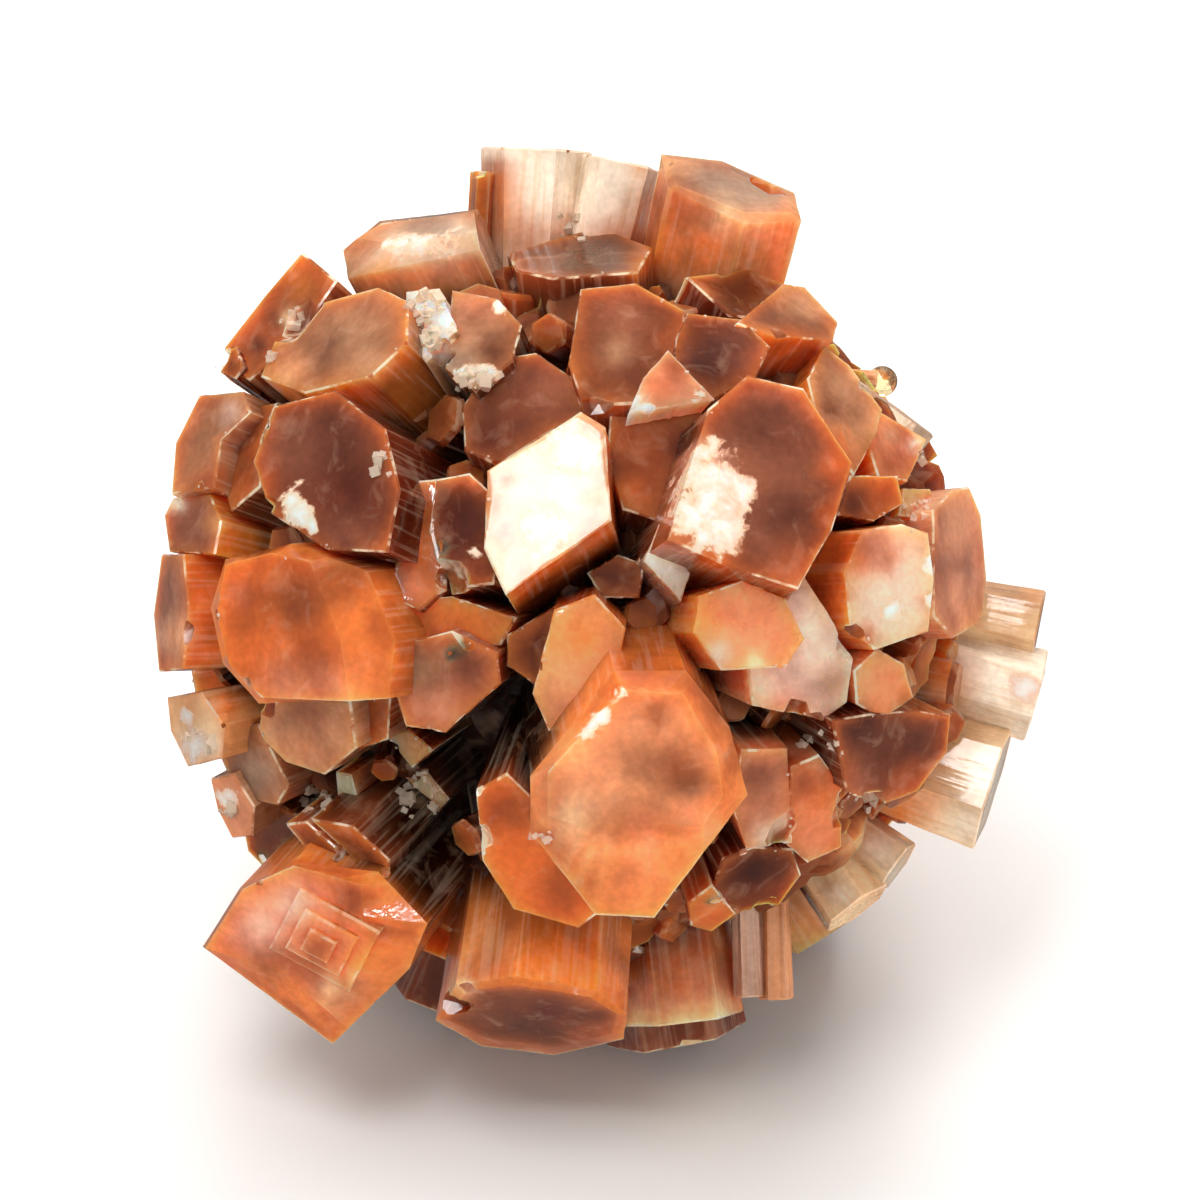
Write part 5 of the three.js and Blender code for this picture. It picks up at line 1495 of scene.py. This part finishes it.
def grown_aragonite(name, see_through, fog, fog_depth, cloud_tints, streak_share):
    """Aragonite with its stains, its clouds and the streaks down its sides."""
    aragonite, tree = new_material(name)
    pattern = add_pattern(tree)
    is_side = add_node(tree, "Attribute", attribute_name="is_side").outputs["Fac"]
    frost_highlight = add_node(tree, "Attribute", attribute_name="frost_highlight").outputs["Fac"]
    colour, frost_highlight_mask = add_colour(tree, pattern, is_side, frost_highlight, cloud_tints, streak_share)
    wispy = add_node(tree, "MapRange", (pattern[1], *WISP_EDGES, *GLOSS))
    frosty = add_node(tree, "Math", (frost_highlight_mask, FROST_ROUGHNESS), **MULTIPLY)
    glossy = add_node(tree, "Math", (wispy, frosty), **ADD)
    clearness = add_node(tree, "Attribute", attribute_name="clearness").outputs["Fac"]
    outer = add_node(tree, "MapRange", (clearness, *OUTER))
    deep = add_node(tree, "MapRange", (outer, 0, 1, DEEP_ROUGHNESS, 0))
    shader = add_node(tree, "BsdfPrincipled", {
        "Base Color": colour,
        "Roughness": add_node(tree, "Math", (glossy, deep), **ADD),
        "IOR": ARAGONITE_IOR,
        "Transmission Weight": see_through,
        "Subsurface Weight": fog,
        "Subsurface Radius": fog_depth,
        "Subsurface Scale": 1 * MM,
        "Normal": add_relief(tree, pattern, is_side, outer, frost_highlight_mask),
    })
    output = add_node(tree, "OutputMaterial", {"Surface": shader})
    print(name, "has", len(tree.nodes), "nodes")
    return aragonite, tree, shader, output


# %% Cloudy and clear aragonite
STAINED_CLOUDS = (0.66, 0.58, 0.56, 1), (1.24, 1.2, 1.16, 1)
CLEAR_CLOUDS = (0.9, 0.8, 0.72, 1), (1.3, 1.26, 1.22, 1)
stained = grown_aragonite("stained_aragonite", see_through=0.12, fog=1, fog_depth=(4.5, 2.4, 1.5),
                          cloud_tints=STAINED_CLOUDS, streak_share=0.2)[0]
clear, tree, shader, output = grown_aragonite("clear_aragonite", see_through=0.5, fog=0,
                                              fog_depth=(0.8, 0.7, 0.6), cloud_tints=CLEAR_CLOUDS,
                                              streak_share=0.5)
clearness = add_node(tree, "Attribute", attribute_name="clearness").outputs["Fac"]
clearer = add_node(tree, "MapRange", (clearness, 0, 1, 0.05, 0.95))
tree.links.new(clearer.outputs[0], shader.inputs["Transmission Weight"])
honey = (*linear("#ffd7b5"), 1)
absorption = add_node(tree, "VolumeAbsorption", {"Color": honey, "Density": 100})
tree.links.new(absorption.outputs[0], output.inputs["Volume"])
glassy, tree = new_material("druse_crystals")
bright = add_node(tree, "BsdfPrincipled", {
    "Base Color": (*linear("#ffead1"), 1),
    "Roughness": 0.06,
    "IOR": ARAGONITE_IOR,
    "Transmission Weight": 0.55,
})
add_node(tree, "OutputMaterial", {"Surface": bright})
for piece, material in ((cluster, stained), (clear_crystals, clear), (druse, glassy)):
    piece.data.materials.clear()
    piece.data.materials.append(material)
print(len(bpy.data.materials), "materials")

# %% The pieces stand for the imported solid
for piece in (cluster, clear_crystals, druse):
    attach(piece, "root")
    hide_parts(NODE)

# %% [markdown]
# ## Studio
#
# A plain pale floor, a white surround and four soft lamps. A crystal end is a small mirror, so
# the key lamp stands exactly where the brightest end reflects it towards the camera. The back
# lamp shines through the crystals along the top, and the side lamp lifts the right. Three small
# lamps add glints.

# %% Camera
CAMERA_DISTANCE = 0.6
PICTURE_WIDTH = 0.0625  # metres across at the middle of the cluster
SENSOR = 36
to_camera = SHOW_FRAME @ (0, 0, 1)
camera = bpy.data.objects.new("camera", bpy.data.cameras.new("camera"))
bpy.context.scene.collection.objects.link(camera)
camera.location = centre + Vector(to_camera) * CAMERA_DISTANCE
camera.rotation_euler = Vector(to_camera).to_track_quat("Z", "Y").to_euler()
camera.data.sensor_width = SENSOR
camera.data.lens = SENSOR * CAMERA_DISTANCE / PICTURE_WIDTH
bpy.context.scene.camera = camera
print("lens", round(camera.data.lens), "mm")

# %% Floor and surround
floor = new_shape(bpy.ops.mesh.primitive_plane_add, size=3)
floor.name = "floor"
paper, tree = new_material("white_paper")
pale = (*linear("#f4f2ef"), 1)
matt = add_node(tree, "BsdfPrincipled", {"Base Color": pale, "Roughness": 0.9})
add_node(tree, "OutputMaterial", {"Surface": matt})
floor.data.materials.append(paper)
floor.visible_glossy = False  # a white floor would veil the stains of the ends that mirror it

world = bpy.data.worlds.new("surround")
bpy.context.scene.world = world
world.use_nodes = True
tree = world.node_tree
tree.nodes.clear()
SURROUND_SEEN, SURROUND_FILL, SURROUND_MIRRORED = 1.0, 0.5, 0.2
path = add_node(tree, "LightPath").outputs
seen = (path["Is Camera Ray"], path["Is Transmission Ray"])
direct = add_node(tree, "Math", seen, operation="MAXIMUM")
unseen = add_node(tree, "MapRange", (path["Is Glossy Ray"], 0, 1, SURROUND_FILL, SURROUND_MIRRORED))
showing = add_node(tree, "Math", (direct, SURROUND_SEEN), **MULTIPLY)
strength = add_node(tree, "Math", (showing, unseen), operation="MAXIMUM")
sky = add_node(tree, "Background", {"Color": (1, 1, 1, 1), "Strength": strength})
add_node(tree, "OutputWorld", {"Surface": sky})
print("floor and surround are in place")

# %% Lamps
def add_lamp(name, way, distance, size, radiance, mirrored=True):
    """A square lamp that shines at the middle of the cluster from a direction."""
    light = bpy.data.lights.new(name, "AREA")
    light.shape = "SQUARE"
    light.size = size
    light.energy = radiance * math.pi * size**2
    lamp = bpy.data.objects.new(name, light)
    way = Vector(way).normalized()
    lamp.location = centre + way * distance
    lamp.rotation_euler = way.to_track_quat("Z", "Y").to_euler()
    lamp.visible_glossy = mirrored
    bpy.context.scene.collection.objects.link(lamp)
    print(name, "stands at", [round(value, 2) for value in lamp.location])


shiny = named["mirror"]["axis"]
towards_mirrored = SHOW_FRAME @ (2 * shiny[2] * shiny - (0, 0, 1))
add_lamp("key_lamp", towards_mirrored, distance=0.5, size=0.19, radiance=10)
add_lamp("top_lamp", (-0.25, 0.1, 1), distance=0.55, size=0.4, radiance=1.8, mirrored=False)
add_lamp("back_lamp", (0.2, 1, 0.9), distance=0.5, size=0.3, radiance=7, mirrored=False)
side = SHOW_FRAME @ (1, -0.3, 0.6)
add_lamp("side_lamp", side, distance=0.55, size=0.3, radiance=2.6, mirrored=False)
for number, way in enumerate([(-0.7, 0.3, 0.65), (0.1, -0.5, 0.85), (0.75, -0.35, 0.55)]):
    add_lamp(f"small_lamp_{number}", SHOW_FRAME @ way, distance=0.5, size=0.025, radiance=50)

# %% Finish
scene = bpy.context.scene
scene.view_settings.view_transform = "Standard"
scene.cycles.max_bounces = 5
scene.cycles.transmission_bounces = 4
scene.cycles.diffuse_bounces = 2
scene.cycles.glossy_bounces = 2
